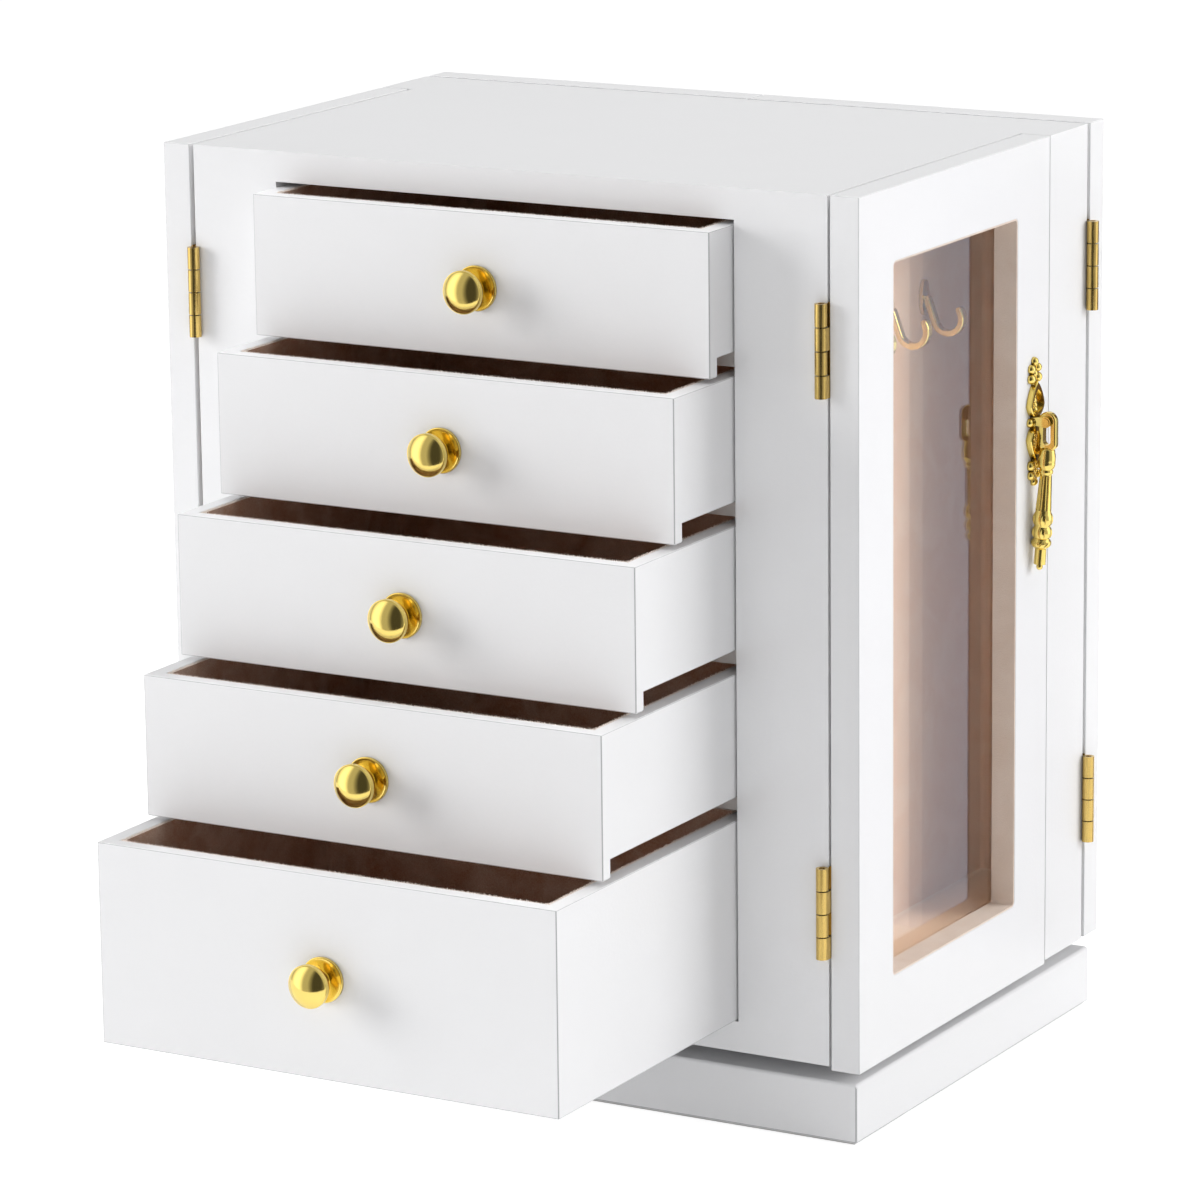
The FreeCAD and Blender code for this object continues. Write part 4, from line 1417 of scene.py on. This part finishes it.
@dataclass
class TurntableBase:
    """The painted base with its bevelled top edge, its felt, and the bearing between base and cabinet.

    Attributes:
        edge: The rounding of its lower edges.
        bevel: The bevel round its top.
        rail: The rails' thickness.
    """

    edge: float = 0.5 * MM
    bevel: float = 1.2 * MM
    rail: float = 12.0 * MM

    def build(self) -> None:
        """Builds the base and dresses the bearing."""
        low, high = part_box("base_rails")
        board_low, board_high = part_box("base_top_board")
        hollow = Shape.block((board_low.x, board_low.y, low.z - self.rail),
                             (board_high.x, board_high.y, board_low.z))
        block = Shape.block(low, high)
        block.ease(self.bevel, 4, 0.0,
                   lambda edge: all(vertex.co.z > high.z - WELD for vertex in edge.verts))
        block = block.combined([hollow], Join.CUT)
        block.ease(self.edge)
        block.piece("painted_base", "base", WHITE_PAINT, ["base_rails", "base_top_board"])
        dress("base_felt", BASE_FELT)
        for node in ("turntable_lower_plate", "turntable_lower_screws", "turntable_ball_cage",
                     "turntable_upper_plate", "turntable_upper_screws"):
            dress(node, BEARING_STEEL)


@dataclass
class Studio:
    """The pale floor, the lamps, the light round about and the camera.

    Attributes:
        table: The part of the floor that mirrors see, as lowest and highest x and y.
        floor_half: Half the whole floor's width.
        floor_drop: How far the whole floor lies below the table.
        floor_tone: The floor's colour.
        floor_seen: The floor's colour for the camera and mirrors, which keeps its shadow faint.
        floor_lift: Light that only the camera and mirrors see on the floor, up to white.
        surround: The strength of the light from all round.
        flatten: How much of a direction's height counts in what mirrors see.
        bright_way: The line along which mirrors see the bright windows of light.
        bright_lift: How much brighter than the background they are.
        bright_ramp: How near that line they begin and are full, as cosines.
        dark_way: The line along which mirrors see the open room.
        dark_ramp: How near that line the room begins and is full, as cosines.
        dark_rest: The strength that they see there.
        mirror_base: The strength that they see elsewhere.
        lamps: Each lamp's name, place, size and power in watts.
        aim: The point that the lamps face.
        cards: Each card's name, distance to the right, width and colour.
        card_place: The distance to the back and the height of the cards' middles.
        card_tall: How tall the cards are.
        sensor: The width of the camera's picture, in millimetres.
        focal: Its focal length, in millimetres.
        eye: Where the camera stands.
        yaw: How far it is turned, in degrees.
        pitch: How far it looks down, in degrees.
        roll: How far it leans, in degrees.
    """

    table: tuple = (-0.9, -0.42, 0.9, 1.2)
    floor_half: float = 9.0
    floor_drop: float = 0.0004
    floor_tone: Corner = linear(240, 240, 241)
    floor_seen: Corner = (0.28, 0.28, 0.28)
    floor_lift: float = 0.9
    surround: float = 0.31
    flatten: float = 0.25
    bright_way: Corner = (-0.866, -0.5, 0.0)
    bright_lift: float = 1.2
    bright_ramp: tuple = (0.86, 0.99)
    dark_way: Corner = (0.454, -0.891, 0.0)
    dark_ramp: tuple = (0.8, 0.96)
    dark_rest: float = 0.07
    mirror_base: float = 0.55
    lamps: tuple = (("Key lamp", (-2.32, -1.18, 0.85), (1.0, 1.5), 49.0),
                    ("Side lamp", (2.0, 1.15, 1.1), (1.4, 1.4), 35.0),
                    ("Top lamp", (0.0, 0.3, 2.4), (1.6, 1.6), 33.0),
                    ("Low lamp", (0.5, -2.2, 0.3), (1.8, 0.5), 6.5))
    aim: Corner = (0.0, 0.0, 0.17)
    cards: tuple = (("Bright_card", 0.2685, 0.06, (1.35, 1.3, 1.4)),
                    ("Middle_card", 0.2355, 0.006, (0.8, 0.8, 0.95)),
                    ("Pale_card", 0.22205, 0.0209, (0.38, 0.46, 0.68)),
                    ("Dark_card", 0.1966, 0.03, (0.1, 0.05, 0.03)))
    card_place: tuple = (0.16, 0.16)
    card_tall: float = 0.32
    sensor: float = 36.0
    focal: float = 175.08
    eye: Corner = (1.0684, -1.8996, 0.6847)
    yaw: float = 29.773
    pitch: float = 13.33
    roll: float = -0.653

    def staged(self, name: str, place: Matrix, size: tuple, finish: bpy.types.Material) -> bpy.types.Object:
        """Lays a flat sheet of the studio.

        Args:
            name: Its name.
            place: Where it lies and how it is turned, from flat on the ground.
            size: Its width and height.
            finish: Its material.

        Returns:
            The sheet.
        """
        made = Shape()
        bmesh.ops.create_grid(made.bm, x_segments=2, y_segments=2, size=0.5,
                              matrix=place @ Matrix.Diagonal((*size, 1.0, 1.0)))
        mesh = bpy.data.meshes.new(name)
        made.bm.to_mesh(mesh)
        made.bm.free()
        mesh.materials.append(finish)
        sheet = in_scene(name, mesh)
        return sheet

    def floor(self) -> None:
        """Lays the floor, which keeps the object's shadow, and the table's part that mirrors see."""
        material = bpy.data.materials.new("Pale floor")
        material.use_nodes = True
        tree = material.node_tree
        ray = put(tree, "LightPath", {}).outputs
        seen = reckoned(tree, "MAXIMUM", ray["Is Camera Ray"],
                        reckoned(tree, "MAXIMUM", ray["Is Glossy Ray"], ray["Is Transmission Ray"]))
        feed(tree, tree.nodes["Principled BSDF"],
             {"Base Color": blended(tree, seen, self.floor_tone, self.floor_seen), "Roughness": 0.9,
              "Specular IOR Level": 0.1, "Emission Color": (1.0, 1.0, 1.0),
              "Emission Strength": reckoned(tree, "MULTIPLY", seen, self.floor_lift)})
        low_x, low_y, high_x, high_y = self.table
        middle = Matrix.Translation(((low_x + high_x) / 2, (low_y + high_y) / 2, -self.floor_drop))
        self.staged("table", middle, (high_x - low_x, high_y - low_y), material)
        far = self.staged("floor", Matrix.Translation((0, 0, -2 * self.floor_drop)),
                          (2 * self.floor_half, 2 * self.floor_half), material)
        far.visible_glossy = False

    def surroundings(self) -> None:
        """Sets the light from all round, and the white that the camera and mirrors see.

        Mirrors see the same white, broken by two bright windows of light and by the open room.
        """
        world = bpy.data.worlds.new("Studio")
        world.use_nodes = True
        bpy.context.scene.world = world
        tree = world.node_tree
        way = put(tree, "TexCoord", {}).outputs["Generated"]
        flat = put(tree, "VectorMath", {0: way, 1: (1.0, 1.0, self.flatten)}, operation="MULTIPLY")
        level = put(tree, "VectorMath", {0: flat.outputs[0]}, operation="NORMALIZE").outputs[0]
        along = [reckoned(tree, "ABSOLUTE", put(tree, "VectorMath", {0: level, 1: aim},
                                                operation="DOT_PRODUCT").outputs["Value"], 0.0)
                 for aim in (self.bright_way, self.dark_way)]
        mirrored = reckoned(tree, "ADD", ranged(tree, along[0], *self.bright_ramp, 0.0, self.bright_lift),
                            ranged(tree, along[1], *self.dark_ramp, self.mirror_base, self.dark_rest))
        ray = put(tree, "LightPath", {}).outputs
        through = reckoned(tree, "MAXIMUM", ray["Is Camera Ray"], ray["Is Transmission Ray"])
        plain = ranged(tree, through, 0.0, 1.0, self.surround, 1.0)
        share = put(tree, "Mix", {0: ray["Is Glossy Ray"], 2: plain, 3: mirrored}, data_type="FLOAT")
        feed(tree, tree.nodes["Background"], {"Color": (1.0, 1.0, 1.0), "Strength": share.outputs[0]})

    def card(self, name: str, right: float, width: float, tone: Corner) -> None:
        """Stands a card beside the object, facing front, that only mirrors see.

        Args:
            name: Its name.
            right: How far to the right its middle is.
            width: Its width.
            tone: The colour that it shows.
        """
        material = bpy.data.materials.new(name)
        material.use_nodes = True
        feed(material.node_tree, material.node_tree.nodes["Principled BSDF"],
             {"Base Color": (0.0, 0.0, 0.0), "Emission Color": tone, "Emission Strength": 1.0})
        upright = Matrix.Translation((right, *self.card_place)) @ Matrix.Rotation(math.pi / 2, 4, "X")
        card = self.staged(name, upright, (width, self.card_tall), material)
        for rays in ("camera", "diffuse", "transmission", "shadow"):
            setattr(card, "visible_" + rays, False)

    def lamp(self, name: str, place: Corner, size: tuple, watts: float) -> None:
        """Hangs a soft lamp.

        Args:
            name: Its name.
            place: Where it hangs.
            size: Its width and height.
            watts: Its power.
        """
        light = bpy.data.lights.new(name, "AREA")
        light.shape = "RECTANGLE"
        light.size, light.size_y = size
        light.energy = watts
        lamp = in_scene(name, light)
        lamp.visible_glossy = False
        way = Vector(self.aim) - Vector(place)
        lamp.matrix_world = Matrix.Translation(place) @ way.to_track_quat("-Z", "Y").to_matrix().to_4x4()

    def camera(self) -> None:
        """Stands the camera where the photograph was taken from."""
        data = bpy.data.cameras.new("Camera")
        data.lens = self.focal
        data.sensor_width = self.sensor
        data.clip_start = 0.05
        data.clip_end = 50.0
        camera = in_scene("Camera", data)
        turn = (Matrix.Rotation(math.radians(self.yaw), 4, "Z")
                @ Matrix.Rotation(math.radians(90 - self.pitch), 4, "X")
                @ Matrix.Rotation(math.radians(self.roll), 4, "Z"))
        camera.matrix_world = Matrix.Translation(self.eye) @ turn
        bpy.context.scene.camera = camera

    def build(self) -> None:
        """Sets up the whole studio."""
        self.floor()
        self.surroundings()
        for lamp in self.lamps:
            self.lamp(*lamp)
        for card in self.cards:
            self.card(*card)
        self.camera()
        bpy.context.scene.view_settings.view_transform = "Standard"


def main() -> None:
    """Builds the cabinet's sub-assemblies in order, then the studio."""
    logging.basicConfig(level=logging.INFO, format="%(name)s %(message)s")
    TurntableBase().build()
    Carcass().build()
    for number in range(1, 6):
        Drawer(number).build()
    for name in ("right", "left"):
        SideDoor(name).build()
        BackDoor(name).build()
    Studio().build()


if __name__ == "__main__":
    main()
